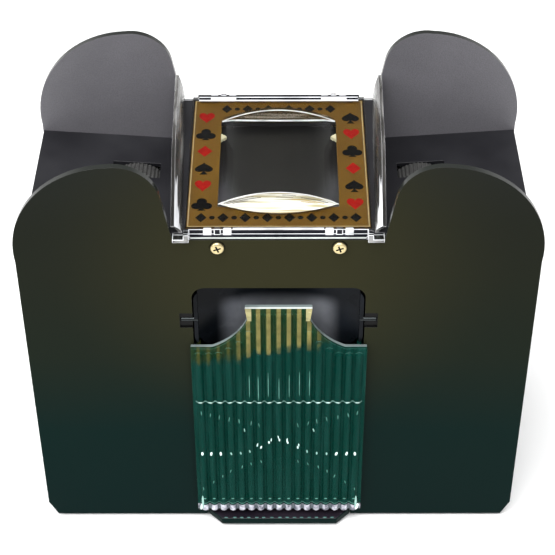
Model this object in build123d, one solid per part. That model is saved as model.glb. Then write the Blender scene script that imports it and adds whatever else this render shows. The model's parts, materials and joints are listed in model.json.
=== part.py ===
from build123d import *

import math
import os

os.makedirs("parts", exist_ok=True)

# Tabletop card shuffler, millimetres. X runs left to right, Y from the front panel to the back,
# Z up. The script works with Y = 0 on the front panel's front face and Z = 0 under the base
# plate. write() moves each piece so that the origin is under the centre of the whole machine.

# Housing
half_w = 105.3
depth = 99.1
wall = 2.6
gap = 0.15
chamfer_w = 3.9
chamfer_h = 7.8
wing_start_z = 150.0
wing_peak_x = 66.0
wing_peak_z = 196.6
wing_side = (97.5, 180.0)
wing_inner = (52.5, 193.0)
wing_inner_end = (46.2, 183.0)
notch_x = 42.07
notch_z = 161.4
back_in = depth - wall
inner_front = wall + gap
inner_back = back_in - gap
side_out = 103.8
side_in = side_out - wall
base_top = 3.5
foot_h = 1.5
foot_r = 5.0
foot_x = 88.0
foot_inset = 13.0
tongue_in = 32.3
tongue_out = 26.0
tongue_reach = 6.4

# Front opening and the card tray that closes it
open_x = 35.5
open_z0 = 5.4
open_z1 = 136.4
open_r = 5.5
tray_face_x = 36.8
tray_z0 = 6.6
tray_wall = 1.8
tray_out_x = 34.7
tray_side_top = 103.0
slope_y0 = 40.0
slope_z0 = 120.0
tray_back_y = 93.5
tray_back_top = 40.0
tray_floor_t = 2.2
face_back = -0.15
face_front = -2.9
shoulder_z = 105.6
tab_top_x = 13.8
tab_top_z = 127.6
curve_x = 38.8
curve_z = 131.1
curve_r = 27.8
waist_z = 121.0
flute_r = 1.8
flute_y = -2.3
flute_pitch = 4.2
flute_count = 17
flute_rim = 3.9
runner_x = 26.0

# Hinged card flap behind the top of the tray
flap_x = 34.9
flap_z0 = 104.6
flap_low_x = 32.2
flap_low_z = 101.6
flap_z1 = 134.4
flap_t = 1.6
flap_side_y = 2.9
flap_mid_y = 9.5
pin_z = 118.8
pin_y = 1.15
pin_r = 1.0
pin_end = 40.2
pin_slot = 1.1
pocket_half = 3.9
pocket_depth = 0.8

# Card bays and the centre well
bay_in_x = 44.2
bay_in_z = 142.6
bay_out_x = 105.0
bay_tilt = 4.2
floor_t = 2.0
well_x = 35.5
well_t = 2.0
well_top = 138.0
throat_z = 140.4

# Top frame, label, clear cover and card guides
frame_x = 43.6
frame_z0 = 160.9
frame_z1 = 162.9
gate_t = 1.8
gate_z0 = 144.6
window_x = 24.5
window_y0 = 18.3
window_y1 = 78.4
label_x = 37.0
label_y0 = 4.8
label_y1 = 94.8
label_t = 0.4
cover_x = 37.5
cover_y0 = 1.9
cover_z0 = 163.4
cover_t = 1.8
vault_rise = 6.0
vault_t = 1.5
tip_root_x = 28.5
tip_end_x = 22.0
tip_y0 = 68.2
tip_y1 = 72.6
tip_t = 1.4
pad_t = 2.5
pad_y0 = 40.0
pad_y1 = 59.0
pad_top = 151.0
deflector_z0 = 148.2
deflector_rise = 6.8
deflector_t = 1.6
deflector_y0 = 13.2
deflector_inset = 10.6
ledge_half = 35.5
ledge_top = 163.0
ledge_back = 2.65
tab_in = 35.4
tab_out = 41.9
tab_reach = 2.0
lug_x = (20.2, 24.15, 28.1)
lug_half = (1.5, 1.2, 1.5)
guide_t = 1.4
guide_y0 = 2.9
guide_lip = 0.3
guide_front = (38.2, 42.6, 165.8)
guide_middle = (39.6, 44.3, 171.0)
guide_back = (41.2, 44.9, 176.0)
screw_x = 24.3
screw_z = 157.8
back_screw_z = 155.0
screw_head_r = 2.8
screw_head_h = 1.6
screw_r = 1.45
cover_screw_l = 11.0
housing_screw_l = 13.0
cross_l = 3.2
cross_w = 0.7
cross_depth = 0.6
boss_l = 10.0
boss_half = 4.2

# Feed drive, one set on each side
feed_x = 62.0
feed_z = 130.9
shaft_r = 2.0
bore_r = 2.05
bearing_r = 4.5
bearing_l = 5.0
hub_r = 11.8
tyre_r = 14.0
tyre_w = 8.5
tyre_y = (28.0, 71.0)
module = 0.8
feed_teeth = 24
small_teeth = 21
large_teeth = 36
pinion_teeth = 10
pressure_angle = 20.0
backlash = 0.12
compound_dx = 4.0
motor_dx = 18.0
gear_y0 = 85.0
gear_y1 = 90.0
large_y0 = 79.0
large_y1 = 83.0
pinion_y0 = 78.5
pinion_y1 = 83.5
motor_r = 12.0
motor_y0 = 44.0
motor_y1 = 76.0
cradle_h = 16.0
cradle_y0 = 50.0
cradle_y1 = 70.0
strap_t = 0.8
strap_y0 = 56.0
strap_y1 = 64.0
strap_ear = 4.0
gear_pin_r = 1.5

# Batteries, push button and board
cell_r = 13.1
cell_len = 50.0
cell_pitch = 27.4
cell_x0 = 41.2
cell_y = 54.0
cell_z = 18.6
box_x0 = 38.6
box_x1 = 94.6
box_y0 = 38.6
box_z1 = 62.0
door_x0 = 43.0
door_x1 = 91.0
door_z0 = 7.0
door_z1 = 58.0
door_gap = 0.35
hinge_r = 0.7
button_x = -60.0
button_z = 70.0
button_r = 6.0
button_stand = 2.5
spring_r = 4.0
spring_t = 0.8
spring_y0 = 90.0
spring_y1 = 94.6
switch_w = 20.0
switch_l = 10.0
post_x = 98.0
post_z = (12.0, 133.0)
post_r = 3.0

shift_y = (tongue_reach - depth - button_stand) / 2


def write(name, shape):
    placed = Pos(0, shift_y, foot_h) * shape
    export_step(placed, "parts/" + name + ".step")


def block(x0, x1, y0, y1, z0, z1):
    centre = Pos((x0 + x1) / 2, (y0 + y1) / 2, (z0 + z1) / 2)
    return centre * Box(abs(x1 - x0), abs(y1 - y0), abs(z1 - z0))


def rod_y(x, z, y0, y1, r):
    return Pos(x, (y0 + y1) / 2, z) * Rot(90, 0, 0) * Cylinder(r, abs(y1 - y0))


def rod_x(x0, x1, y, z, r):
    return Pos((x0 + x1) / 2, y, z) * Rot(0, 90, 0) * Cylinder(r, abs(x1 - x0))


def along_y(face, y0, y1):
    """Extrudes a face drawn in (x, z) from y0 to y1."""
    return Pos(0, y1, 0) * extrude(Plane.XZ * face, amount=y1 - y0)


def polygon(points):
    return make_face(Polyline(*points, close=True))


def flip(shape):
    return mirror(shape, about=Plane.YZ)


def both_sides(shape):
    return shape + flip(shape)


def bay_z(x):
    return bay_in_z + (x - bay_in_x) * math.tan(math.radians(bay_tilt))


# Housing panels


def panel_outline():
    side = Polyline(
        (0, 0),
        (half_w - chamfer_w, 0),
        (half_w, chamfer_h),
        (half_w, wing_start_z),
    )
    outer = ThreePointArc((half_w, wing_start_z), wing_side, (wing_peak_x, wing_peak_z))
    inner = ThreePointArc((wing_peak_x, wing_peak_z), wing_inner, wing_inner_end)
    notch = Polyline(wing_inner_end, (notch_x, notch_z), (0, notch_z), (0, 0))
    return both_sides(make_face(side + outer + inner + notch))


def front_panel():
    body = along_y(panel_outline(), 0, wall)
    opening = Pos(0, (open_z0 + open_z1) / 2) * RectangleRounded(
        2 * open_x, open_z1 - open_z0, open_r
    )
    body -= along_y(opening, -1, wall + 1)
    body -= block(-open_x, open_x, -1, wall + 1, open_z0, open_z0 + open_r)
    body -= block(-tongue_in - 0.2, tongue_in + 0.2, -1, wall + 1, -1, base_top + 0.1)
    pocket = block(open_x - 1, pin_end + 0.6, -1, pocket_depth, pin_z - pocket_half, pin_z + pocket_half)
    slot = block(open_x - 1, pin_end + 0.3, -1, pin_y + pin_slot, pin_z - pin_slot, pin_z + pin_slot)
    body -= both_sides(pocket + slot)
    body -= both_sides(rod_y(screw_x, screw_z, -1, wall + 1, screw_r + 0.15))
    bearing = rod_y(feed_x, feed_z, wall, wall + bearing_l, bearing_r)
    bearing -= rod_y(feed_x, feed_z, wall, wall + bearing_l, bore_r)
    body += both_sides(bearing)
    for z in post_z:
        post = rod_y(post_x, z, wall, inner_back, post_r)
        post -= rod_y(post_x, z, inner_back - housing_screw_l, depth, screw_r + 0.05)
        body += both_sides(post)
    return body


def back_panel():
    body = along_y(panel_outline(), back_in, depth)
    for x, z in [(screw_x, back_screw_z)] + [(post_x, z) for z in post_z]:
        body -= both_sides(rod_y(x, z, back_in - 1, depth + 1, screw_r + 0.15))
    bearing = rod_y(feed_x, feed_z, back_in - bearing_l, back_in, bearing_r)
    bearing -= rod_y(feed_x, feed_z, back_in - bearing_l, back_in, bore_r)
    body += both_sides(bearing)
    stud = rod_y(compound_x, compound_z, gear_y1 + 1.2, back_in, 3.5)
    stud -= rod_y(compound_x, compound_z, gear_y1, back_in, gear_pin_r)
    body += both_sides(stud)
    body -= rod_y(button_x, button_z, back_in - 1, depth + 1, button_r + 0.3)
    body -= block(
        door_x0 - door_gap,
        door_x1 + door_gap,
        back_in - 1,
        depth + 1,
        door_z0 - door_gap,
        door_z1 + door_gap,
    )
    hinge_y = back_in + wall / 2
    hinge_z = door_z0 + wall / 2
    body -= rod_x(door_x0 - 3.4, door_x1 + 3.4, hinge_y, hinge_z, hinge_r + 0.08)
    return body


def side_wall():
    top = bay_z(side_in) - floor_t - 0.1
    return block(side_in, side_out, inner_front, inner_back, 0, top)


def base_plate():
    body = block(-side_in + 0.1, side_in - 0.1, inner_front, inner_back, 0, base_top)
    body += block(-tongue_in, tongue_in, 0, inner_front, 0, base_top)
    tongue = polygon(
        [
            (-tongue_in, 0),
            (tongue_in, 0),
            (tongue_out, -tongue_reach),
            (-tongue_out, -tongue_reach),
        ]
    )
    body += extrude(tongue, amount=base_top)
    runner = block(runner_x, runner_x + 4, inner_front, inner_back, base_top, tray_z0 - 0.1)
    body += both_sides(runner)
    return body - both_sides(rod_y(post_x, post_z[0], 0, depth, post_r + 0.2))


# Card bays and centre well


def bay_floor():
    inner = (bay_in_x, bay_in_z)
    outer = (bay_out_x, bay_z(bay_out_x))
    lip_z = outer[1] - 5
    section = polygon(
        [
            inner,
            outer,
            (bay_out_x, lip_z),
            (side_out + 0.1, lip_z),
            (side_out + 0.1, bay_z(side_out) - floor_t),
            (bay_in_x, bay_in_z - floor_t),
        ]
    )
    body = along_y(section, inner_front, inner_back)
    slot_half = math.sqrt(tyre_r**2 - (bay_z(feed_x) - floor_t - feed_z) ** 2) + 1.6
    for y in tyre_y:
        half = tyre_w / 2 + 1
        body -= block(feed_x - slot_half, feed_x + slot_half, y - half, y + half, feed_z, 160)
    return body


def well_wall():
    section = polygon(
        [
            (well_x, base_top),
            (well_x + well_t, base_top),
            (well_x + well_t, well_top - 1),
            (bay_in_x - 0.1, throat_z),
            (bay_in_x - 0.1, bay_in_z - 0.2),
            (well_x, well_top + 1.5),
        ]
    )
    return along_y(section, inner_front, inner_back)


def gate_pad():
    """Rubber block on the gate wall that holds back all but the lowest card."""
    inner = frame_x - gate_t
    return block(inner - pad_t, inner, pad_y0, pad_y1, gate_z0 - 0.6, pad_top)


# Top frame, label, cover and guides


def window_cut(z0, z1):
    return block(-window_x, window_x, window_y0, window_y1, z0, z1)


def screw_boss(z, y0, y1):
    boss = block(screw_x - boss_half, screw_x + boss_half, y0, y1, z - 4, frame_z0)
    return boss - rod_y(screw_x, z, y0, y1, screw_r + 0.05)


def top_frame():
    body = block(-frame_x, frame_x, inner_front, inner_back, frame_z0, frame_z1)
    body -= window_cut(frame_z0 - 1, frame_z1 + 1)
    gate = block(frame_x - gate_t, frame_x, inner_front, inner_back, gate_z0, frame_z0)
    body += both_sides(gate)
    body += both_sides(screw_boss(screw_z, inner_front, inner_front + boss_l))
    body += both_sides(screw_boss(back_screw_z, inner_back - boss_l, inner_back))
    return body


def card_deflector():
    """Arched vane over the well that turns the fed cards down into the tray."""
    reach = frame_x - gate_t - 0.1
    low = deflector_z0
    high = low + deflector_t
    lower = ThreePointArc((-reach, low), (0, low + deflector_rise), (reach, low))
    upper = ThreePointArc((reach, high), (0, high + deflector_rise), (-reach, high))
    ends = Line((reach, low), (reach, high)) + Line((-reach, high), (-reach, low))
    arch = along_y(make_face(lower + ends + upper), deflector_y0, back_in - deflector_inset)
    clear_x = frame_x - gate_t - pad_t - 0.4
    notch = block(clear_x, frame_x, pad_y0 - 1, pad_y1 + 1, pad_top - 11, pad_top + 0.5)
    return arch - both_sides(notch)


def label_plate():
    body = block(-label_x, label_x, label_y0, label_y1, frame_z1, frame_z1 + label_t)
    return body - window_cut(frame_z1 - 1, frame_z1 + 1)


def vault_section(half, rise, base):
    arc = ThreePointArc((-half, base), (0, base + rise), (half, base))
    return make_face(arc + Line((half, base), (-half, base)))


def cover_end():
    """Front edge of the cover: a ledge over the panel, corner tabs in front of it, and lugs."""
    top = cover_z0 + cover_t
    low = notch_z + 0.1
    body = block(-ledge_half, ledge_half, 0, ledge_back, low, ledge_top)
    body += block(-ledge_half, ledge_half, cover_y0, ledge_back, low, top)
    tab = block(tab_in, tab_out, -tab_reach, ledge_back, low, ledge_top)
    tab += block(tab_in, cover_x, -tab_reach, ledge_back, low, top)
    body += both_sides(tab)
    for x, half in zip(lug_x, lug_half):
        body += both_sides(block(x - half, x + half, cover_y0 - half / 3, ledge_back, low, top + 0.4))
    return body


def clear_cover():
    top = cover_z0 + cover_t
    body = block(-cover_x, cover_x, cover_y0, depth - cover_y0, cover_z0, top)
    body += along_y(vault_section(window_x, vault_rise, top - 0.01), window_y0, window_y1)
    inner_half = window_x - vault_t
    inner_rise = vault_rise + cover_t - vault_t
    hollow = vault_section(inner_half, inner_rise, cover_z0 - 0.01)
    body -= along_y(hollow, window_y0 + vault_t, window_y1 - vault_t)
    body += cover_end()
    return body + Pos(0, depth, 0) * mirror(cover_end(), about=Plane.XZ)


def guide_section(y, foot_x, top_x, top_z):
    """Cross-section of a card guide: upright at the foot, then leaning out to its top edge."""
    steps = 5
    height = top_z - frame_z1
    inner = []
    outer = []
    for step in range(steps + 1):
        share = step / steps
        lean = (top_x - guide_t - foot_x) * share**2
        z = frame_z1 + height * share
        inner.append((foot_x + lean, y, z + guide_lip * share))
        outer.append((foot_x + guide_t + lean, y, z))
    return make_face(Polyline(*inner, *reversed(outer), close=True))


def card_guide():
    """Clear lip that keeps the pile of cards off the cover: low in front, taller at the back."""
    ends = (guide_y0, depth / 2, depth - guide_y0)
    shapes = zip(ends, (guide_front, guide_middle, guide_back))
    return loft([guide_section(y, *shape) for y, shape in shapes], ruled=True)


def pile_tips():
    """Small ivory finger guides at the window's side edges."""
    wedge = polygon(
        [
            (tip_root_x, tip_y0),
            (tip_root_x, tip_y1),
            (window_x - 0.5, tip_y1),
            (tip_end_x, (tip_y0 + tip_y1) / 2),
            (window_x - 0.5, tip_y0),
        ]
    )
    return both_sides(Pos(0, 0, frame_z0 - tip_t) * extrude(wedge, amount=tip_t))


def pan_screw(x, z, face_y, direction, length):
    """Cross-head pan screw that enters along +Y (direction 1) or -Y (direction -1)."""
    head = Cylinder(screw_head_r, screw_head_h, align=(Align.CENTER, Align.CENTER, Align.MIN))
    head = fillet(head.edges().group_by(Axis.Z)[-1], screw_head_h * 0.6)
    for turn in (0, 90):
        head -= Pos(0, 0, screw_head_h) * Rot(0, 0, turn + 20) * Box(cross_l, cross_w, 2 * cross_depth)
    shank = Cylinder(screw_r, length, align=(Align.CENTER, Align.CENTER, Align.MAX))
    return Pos(x, face_y, z) * Rot(90 * direction, 0, 0) * (head + shank)


def screws_pair(x, z, face_y, direction, length):
    return [pan_screw(s * x, z, face_y, direction, length) for s in (-1, 1)]


# Card tray and flap


def tray_top(x):
    x = abs(x)
    if x <= curve_x - math.sqrt(curve_r**2 - (curve_z - waist_z) ** 2):
        return tab_top_z
    if x >= curve_x - math.sqrt(curve_r**2 - (curve_z - shoulder_z) ** 2):
        return shoulder_z
    return curve_z - math.sqrt(curve_r**2 - (curve_x - x) ** 2)


def tray_face():
    waist_x = curve_x - math.sqrt(curve_r**2 - (curve_z - waist_z) ** 2)
    curve_end = curve_x - math.sqrt(curve_r**2 - (curve_z - shoulder_z) ** 2)
    middle = (waist_x + curve_end) / 2
    side = Polyline(
        (0, tray_z0), (tray_face_x, tray_z0), (tray_face_x, shoulder_z), (curve_end, shoulder_z)
    )
    curve = ThreePointArc(
        (curve_end, shoulder_z), (middle, tray_top(middle)), (waist_x, waist_z)
    )
    tab = Polyline((waist_x, waist_z), (tab_top_x, tab_top_z), (0, tab_top_z), (0, tray_z0))
    half = make_face(side + curve + tab)
    return along_y(both_sides(half), face_front, face_back)


def flute(x):
    """Half-round rib with a domed top that runs down to the tray's lower edge."""
    top = min(tray_top(x - flute_r), tray_top(x + flute_r)) - flute_rim
    body = Pos(x, flute_y, (tray_z0 + top) / 2) * Cylinder(flute_r, top - tray_z0)
    body += Pos(x, flute_y, top) * Sphere(flute_r)
    return body & block(x - flute_pitch, x + flute_pitch, -10, flute_y, tray_z0, tab_top_z)


def card_tray():
    body = tray_face()
    for index in range(flute_count):
        body += flute((index - (flute_count - 1) / 2) * flute_pitch)
    body += block(-tray_out_x, tray_out_x, face_back - 0.5, tray_back_y, tray_z0, tray_z0 + tray_floor_t)
    side = block(
        tray_out_x - tray_wall, tray_out_x, face_back - 0.5, tray_back_y, tray_z0, tray_side_top
    )
    end = tray_back_y + 5
    slope = polygon([(slope_y0, slope_z0), (end, slope_z0), (end, tray_back_top + 5)])
    side -= extrude(Plane.YZ * slope, amount=60)
    body += both_sides(side)
    body += block(
        -tray_out_x, tray_out_x, tray_back_y - tray_wall, tray_back_y, tray_z0, tray_back_top
    )
    return body


def card_flap():
    front = ThreePointArc((-flap_x, flap_side_y), (0, flap_mid_y), (flap_x, flap_side_y))
    back = ThreePointArc(
        (flap_x, flap_side_y + flap_t), (0, flap_mid_y + flap_t), (-flap_x, flap_side_y + flap_t)
    )
    ends = Line((flap_x, flap_side_y), (flap_x, flap_side_y + flap_t))
    ends += Line((-flap_x, flap_side_y + flap_t), (-flap_x, flap_side_y))
    sheet = extrude(make_face(front + ends + back), amount=flap_z1 - flap_low_z)
    body = Pos(0, 0, flap_low_z) * sheet
    cheek = block(flap_x - 1.6, flap_x, 0.3, flap_side_y + 1, flap_z0, flap_z1)
    cheek = fillet(cheek.edges().filter_by(Axis.X).group_by(Axis.Y)[0], 2.0)
    body += both_sides(cheek)
    outline = Pos(0, (flap_z0 + flap_z1) / 2) * RectangleRounded(2 * flap_x, flap_z1 - flap_z0, 4.9)
    low_height = flap_z0 + 10 - flap_low_z
    outline += Pos(0, flap_low_z + low_height / 2) * RectangleRounded(2 * flap_low_x, low_height, 4)
    body &= along_y(outline, 0, flap_mid_y + 3)
    return body - rod_x(-flap_x - 1, flap_x + 1, pin_y, pin_z, pin_r)


def flap_pins():
    pin = rod_x(flap_x - 1.6, pin_end, pin_y, pin_z, pin_r)
    return [pin, flip(pin)]


# Feed drive


def gear_face(teeth, turn):
    """Involute gear drawn at the origin, with the centre of one tooth at angle turn (degrees)."""
    pitch_r = module * teeth / 2
    base_r = pitch_r * math.cos(math.radians(pressure_angle))
    tip_r = pitch_r + module
    root_r = pitch_r - 1.3 * module
    angle = math.radians(pressure_angle)
    half_tooth = math.pi / (2 * teeth) - backlash / (2 * pitch_r) + math.tan(angle) - angle

    def flank(radius):
        roll = math.acos(min(1.0, base_r / radius))
        return half_tooth - (math.tan(roll) - roll)

    start_r = max(base_r, root_r)
    radii = [start_r + (tip_r - start_r) * step / 4 for step in range(5)]
    points = []
    for tooth in range(teeth):
        centre = math.radians(turn) + 2 * math.pi * tooth / teeth
        side = [(radius, flank(radius)) for radius in radii]
        if start_r > root_r:
            side.insert(0, (root_r, flank(start_r)))
        for radius, offset in side:
            points.append((radius * math.cos(centre - offset), radius * math.sin(centre - offset)))
        for radius, offset in reversed(side):
            points.append((radius * math.cos(centre + offset), radius * math.sin(centre + offset)))
    return polygon(points)


def gear(teeth, turn, x, z, y0, y1):
    return along_y(Pos(x, z) * gear_face(teeth, turn), y0, y1)


feed_to_compound = module * (feed_teeth + small_teeth) / 2
compound_to_motor = module * (large_teeth + pinion_teeth) / 2
compound_x = feed_x + compound_dx
compound_z = feed_z - math.sqrt(feed_to_compound**2 - compound_dx**2)
motor_x = compound_x + motor_dx
motor_z = compound_z - math.sqrt(compound_to_motor**2 - motor_dx**2)
turn_down = math.degrees(math.atan2(compound_z - feed_z, compound_x - feed_x))
turn_out = math.degrees(math.atan2(motor_z - compound_z, motor_x - compound_x))


def feed_shaft():
    return rod_y(feed_x, feed_z, wall + 0.3, back_in - 0.3, shaft_r)


def feed_hubs():
    hubs = []
    for y in tyre_y:
        hub = rod_y(feed_x, feed_z, y - tyre_w / 2, y + tyre_w / 2, hub_r)
        for side in (-1, 1):
            face = y + side * tyre_w / 2
            pocket = rod_y(feed_x, feed_z, face - 2.5, face + 2.5, hub_r - 2)
            pocket -= rod_y(feed_x, feed_z, face - 2.5, face + 2.5, 4.2)
            hub -= pocket
        hubs.append(hub - rod_y(feed_x, feed_z, 0, depth, shaft_r))
    return hubs


def feed_tyres():
    tyres = []
    for y in tyre_y:
        tyre = rod_y(feed_x, feed_z, y - tyre_w / 2, y + tyre_w / 2, tyre_r)
        tyres.append(tyre - rod_y(feed_x, feed_z, 0, depth, hub_r))
    return tyres


def feed_gear():
    body = gear(feed_teeth, turn_down, feed_x, feed_z, gear_y0, gear_y1)
    return body - rod_y(feed_x, feed_z, 0, depth, shaft_r)


def compound_gear():
    small_turn = turn_down + 180 + 180 / small_teeth
    body = gear(small_teeth, small_turn, compound_x, compound_z, large_y1, gear_y1)
    body += gear(large_teeth, turn_out, compound_x, compound_z, large_y0, large_y1)
    return body - rod_y(compound_x, compound_z, 0, depth, gear_pin_r + 0.05)


def gear_pin():
    pin = rod_y(compound_x, compound_z, large_y0 - 1.2, back_in - 0.1, gear_pin_r)
    clip = rod_y(compound_x, compound_z, large_y0 - 1.0, large_y0 - 0.4, 2.6)
    return pin + clip


def motor_can():
    body = rod_y(motor_x, motor_z, motor_y0, motor_y1, motor_r)
    body -= rod_y(motor_x, motor_z, motor_y0, motor_y1 - 1.2, motor_r - 1)
    body += rod_y(motor_x, motor_z, motor_y1, motor_y1 + 1.5, 4)
    return body - rod_y(motor_x, motor_z, motor_y1 - 2, motor_y1 + 2, 1.05)


def motor_cap():
    body = rod_y(motor_x, motor_z, motor_y0, motor_y0 + 2.4, motor_r - 1)
    body += rod_y(motor_x, motor_z, motor_y0 - 2, motor_y0, 4)
    return body - rod_y(motor_x, motor_z, motor_y0 - 1, motor_y0 + 3, 1.05)


def motor_armature():
    shaft = rod_y(motor_x, motor_z, motor_y0 - 0.7, pinion_y1 + 0.5, 1.0)
    return shaft + rod_y(motor_x, motor_z, motor_y0 + 8, motor_y1 - 6, 8.5)


def motor_pinion():
    turn = turn_out + 180 + 180 / pinion_teeth
    body = gear(pinion_teeth, turn, motor_x, motor_z, pinion_y0, pinion_y1)
    return body - rod_y(motor_x, motor_z, 0, depth, 1.0)


def motor_cradle():
    body = block(motor_x - motor_r - 1, side_in, cradle_y0, cradle_y1, motor_z - cradle_h, motor_z)
    return body - rod_y(motor_x, motor_z, 0, depth, motor_r)


def motor_strap():
    outer = motor_r + strap_t
    band = rod_y(motor_x, motor_z, strap_y0, strap_y1, outer)
    band -= rod_y(motor_x, motor_z, 0, depth, motor_r)
    span = outer + 1
    band &= block(motor_x - span, motor_x + span, strap_y0, strap_y1, motor_z, motor_z + span)
    for side in (-1, 1):
        inner = motor_x + side * motor_r
        band += block(inner, inner + side * strap_ear, strap_y0, strap_y1, motor_z, motor_z + strap_t)
    return band


# Batteries, button and board


def cell_places():
    return [(cell_y + i * cell_pitch, cell_z + j * cell_pitch) for i in (0, 1) for j in (0, 1)]


def battery_cells():
    cells = []
    for y, z in cell_places():
        cell = rod_x(cell_x0 + 0.4, cell_x0 + cell_len - 2, y, z, cell_r)
        cells.append(cell + rod_x(cell_x0 + cell_len - 2, cell_x0 + cell_len - 0.4, y, z, 3.2))
    return cells


def battery_box():
    body = block(box_x0, box_x1, box_y0, inner_back, base_top, box_z1)
    body -= block(box_x0 + 1.6, box_x1 - 1.6, box_y0 + 1.6, depth, base_top + 1.4, box_z1 - 1.4)
    return body


def battery_contacts():
    plates = []
    for y, z in cell_places():
        plates.append(block(cell_x0 - 0.6, cell_x0, y - 5, y + 5, z - 5, z + 5))
        end = cell_x0 + cell_len
        plates.append(block(end, end + 0.6, y - 5, y + 5, z - 5, z + 5))
    return plates


def battery_door():
    hinge_y = back_in + wall / 2
    hinge_z = door_z0 + wall / 2
    body = block(door_x0, door_x1, back_in, depth, hinge_z, door_z1)
    body += rod_x(door_x0, door_x1, hinge_y, hinge_z, wall / 2)
    body += rod_x(door_x0 - 3, door_x1 + 3, hinge_y, hinge_z, hinge_r)
    middle = (door_x0 + door_x1) / 2
    body -= block(middle - 8, middle + 8, depth - 1.2, depth + 1, door_z1 - 9, door_z1 - 3)
    for index in range(6):
        z = door_z0 + 14 + index * 3
        body -= block(middle - 12, middle + 12, depth - 0.5, depth + 1, z, z + 1.2)
    return body


def push_button():
    cap_end = depth + button_stand
    body = rod_y(button_x, button_z, spring_y1, cap_end, button_r)
    body = fillet(body.edges().group_by(Axis.Y)[-1], 1.0)
    return body + rod_y(button_x, button_z, spring_y1, back_in - 0.4, button_r + 1.4)


def button_spring():
    body = rod_y(button_x, button_z, spring_y0, spring_y1, spring_r)
    return body - rod_y(button_x, button_z, spring_y0 - 1, spring_y1 + 1, spring_r - spring_t)


def switch_body():
    half = switch_w / 2
    z0 = button_z - half
    body = block(button_x - half, button_x + half, spring_y0 - switch_l, spring_y0, z0, z0 + switch_w)
    sleeve = rod_y(button_x, button_z, spring_y0, inner_back, half - 0.4)
    sleeve -= rod_y(button_x, button_z, spring_y0, back_in, button_r + 1.9)
    return body + sleeve


def circuit_board():
    board = block(-94, -48, 26, 76, base_top + 4, base_top + 5.6)
    for x in (-90, -52):
        for y in (30, 72):
            board += Pos(x, y, base_top + 2) * Cylinder(2.2, 4)
    return board


def board_parts():
    top = base_top + 5.6
    parts = [block(-76, -66, 44, 58, top, top + 3)]
    for x, y in [(-86, 38), (-86, 52), (-58, 64)]:
        parts.append(Pos(x, y, top + 5) * Cylinder(3, 10))
    for y in (34, 40, 46):
        parts.append(block(-60, -54, y, y + 2.4, top, top + 2.4))
    return parts


def rubber_feet():
    feet = []
    for x in (-foot_x, foot_x):
        for y in (foot_inset, depth - foot_inset):
            feet.append(Pos(x, y, -foot_h / 2) * Cylinder(foot_r, foot_h))
    return feet


def group(shapes):
    return Compound(children=shapes)


write("front_panel", front_panel())
write("back_panel", back_panel())
write("base_plate", base_plate())
write("top_frame", top_frame())
write("card_deflector", card_deflector())
write("label_plate", label_plate())
write("clear_cover", clear_cover())
write("pile_tips", group(pile_tips().solids()))
write("card_tray", card_tray())
write("card_flap", card_flap())
write("flap_pins", group(flap_pins()))
write("rubber_feet", group(rubber_feet()))
write("battery_box", battery_box())
write("battery_cells", group(battery_cells()))
write("battery_contacts", group(battery_contacts()))
write("battery_door", battery_door())
write("push_button", push_button())
write("button_spring", button_spring())
write("switch_body", switch_body())
write("circuit_board", circuit_board())
write("board_parts", group(board_parts()))
write("front_cover_screws", group(screws_pair(screw_x, screw_z, 0, 1, cover_screw_l)))
write("back_cover_screws", group(screws_pair(screw_x, back_screw_z, depth, -1, cover_screw_l)))
housing_screws = []
for z in post_z:
    housing_screws += screws_pair(post_x, z, depth, -1, housing_screw_l)
write("housing_screws", group(housing_screws))

sided = {
    "side_wall": side_wall(),
    "bay_floor": bay_floor(),
    "well_wall": well_wall(),
    "gate_pad": gate_pad(),
    "card_guide": card_guide(),
    "feed_shaft": feed_shaft(),
    "feed_gear": feed_gear(),
    "compound_gear": compound_gear(),
    "gear_pin": gear_pin(),
    "motor_can": motor_can(),
    "motor_cap": motor_cap(),
    "motor_armature": motor_armature(),
    "motor_pinion": motor_pinion(),
    "motor_cradle": motor_cradle(),
    "motor_strap": motor_strap(),
}
for name, shape in sided.items():
    write("right_" + name, shape)
    write("left_" + name, flip(shape))
for name, shapes in {"feed_hubs": feed_hubs(), "feed_tyres": feed_tyres()}.items():
    write("right_" + name, group(shapes))
    write("left_" + name, group([flip(shape) for shape in shapes]))
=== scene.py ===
import json
import math
import random

import bmesh
import bpy
from mathutils import Matrix, Vector

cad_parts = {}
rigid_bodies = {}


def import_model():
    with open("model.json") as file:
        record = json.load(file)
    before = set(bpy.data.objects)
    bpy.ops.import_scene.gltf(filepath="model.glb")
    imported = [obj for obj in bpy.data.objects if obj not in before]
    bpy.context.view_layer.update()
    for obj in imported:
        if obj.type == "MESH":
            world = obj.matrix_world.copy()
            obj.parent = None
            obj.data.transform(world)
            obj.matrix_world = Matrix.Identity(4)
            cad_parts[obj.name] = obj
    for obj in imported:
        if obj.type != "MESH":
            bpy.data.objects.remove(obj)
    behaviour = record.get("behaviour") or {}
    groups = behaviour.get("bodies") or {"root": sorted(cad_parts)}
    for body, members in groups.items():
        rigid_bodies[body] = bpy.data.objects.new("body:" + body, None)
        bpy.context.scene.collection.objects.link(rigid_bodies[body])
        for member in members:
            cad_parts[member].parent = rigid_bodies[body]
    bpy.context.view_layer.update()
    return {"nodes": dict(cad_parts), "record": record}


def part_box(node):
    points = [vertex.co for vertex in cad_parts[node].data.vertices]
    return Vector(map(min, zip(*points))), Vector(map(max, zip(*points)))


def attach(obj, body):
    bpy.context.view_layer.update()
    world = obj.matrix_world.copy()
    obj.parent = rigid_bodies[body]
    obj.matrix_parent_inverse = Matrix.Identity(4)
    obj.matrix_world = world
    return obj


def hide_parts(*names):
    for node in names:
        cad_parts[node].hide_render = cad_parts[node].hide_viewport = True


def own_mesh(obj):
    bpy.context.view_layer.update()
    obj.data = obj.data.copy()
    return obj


for leftover in list(bpy.data.objects):
    bpy.data.objects.remove(leftover)
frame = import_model()
dice = random.Random(7)

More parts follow.
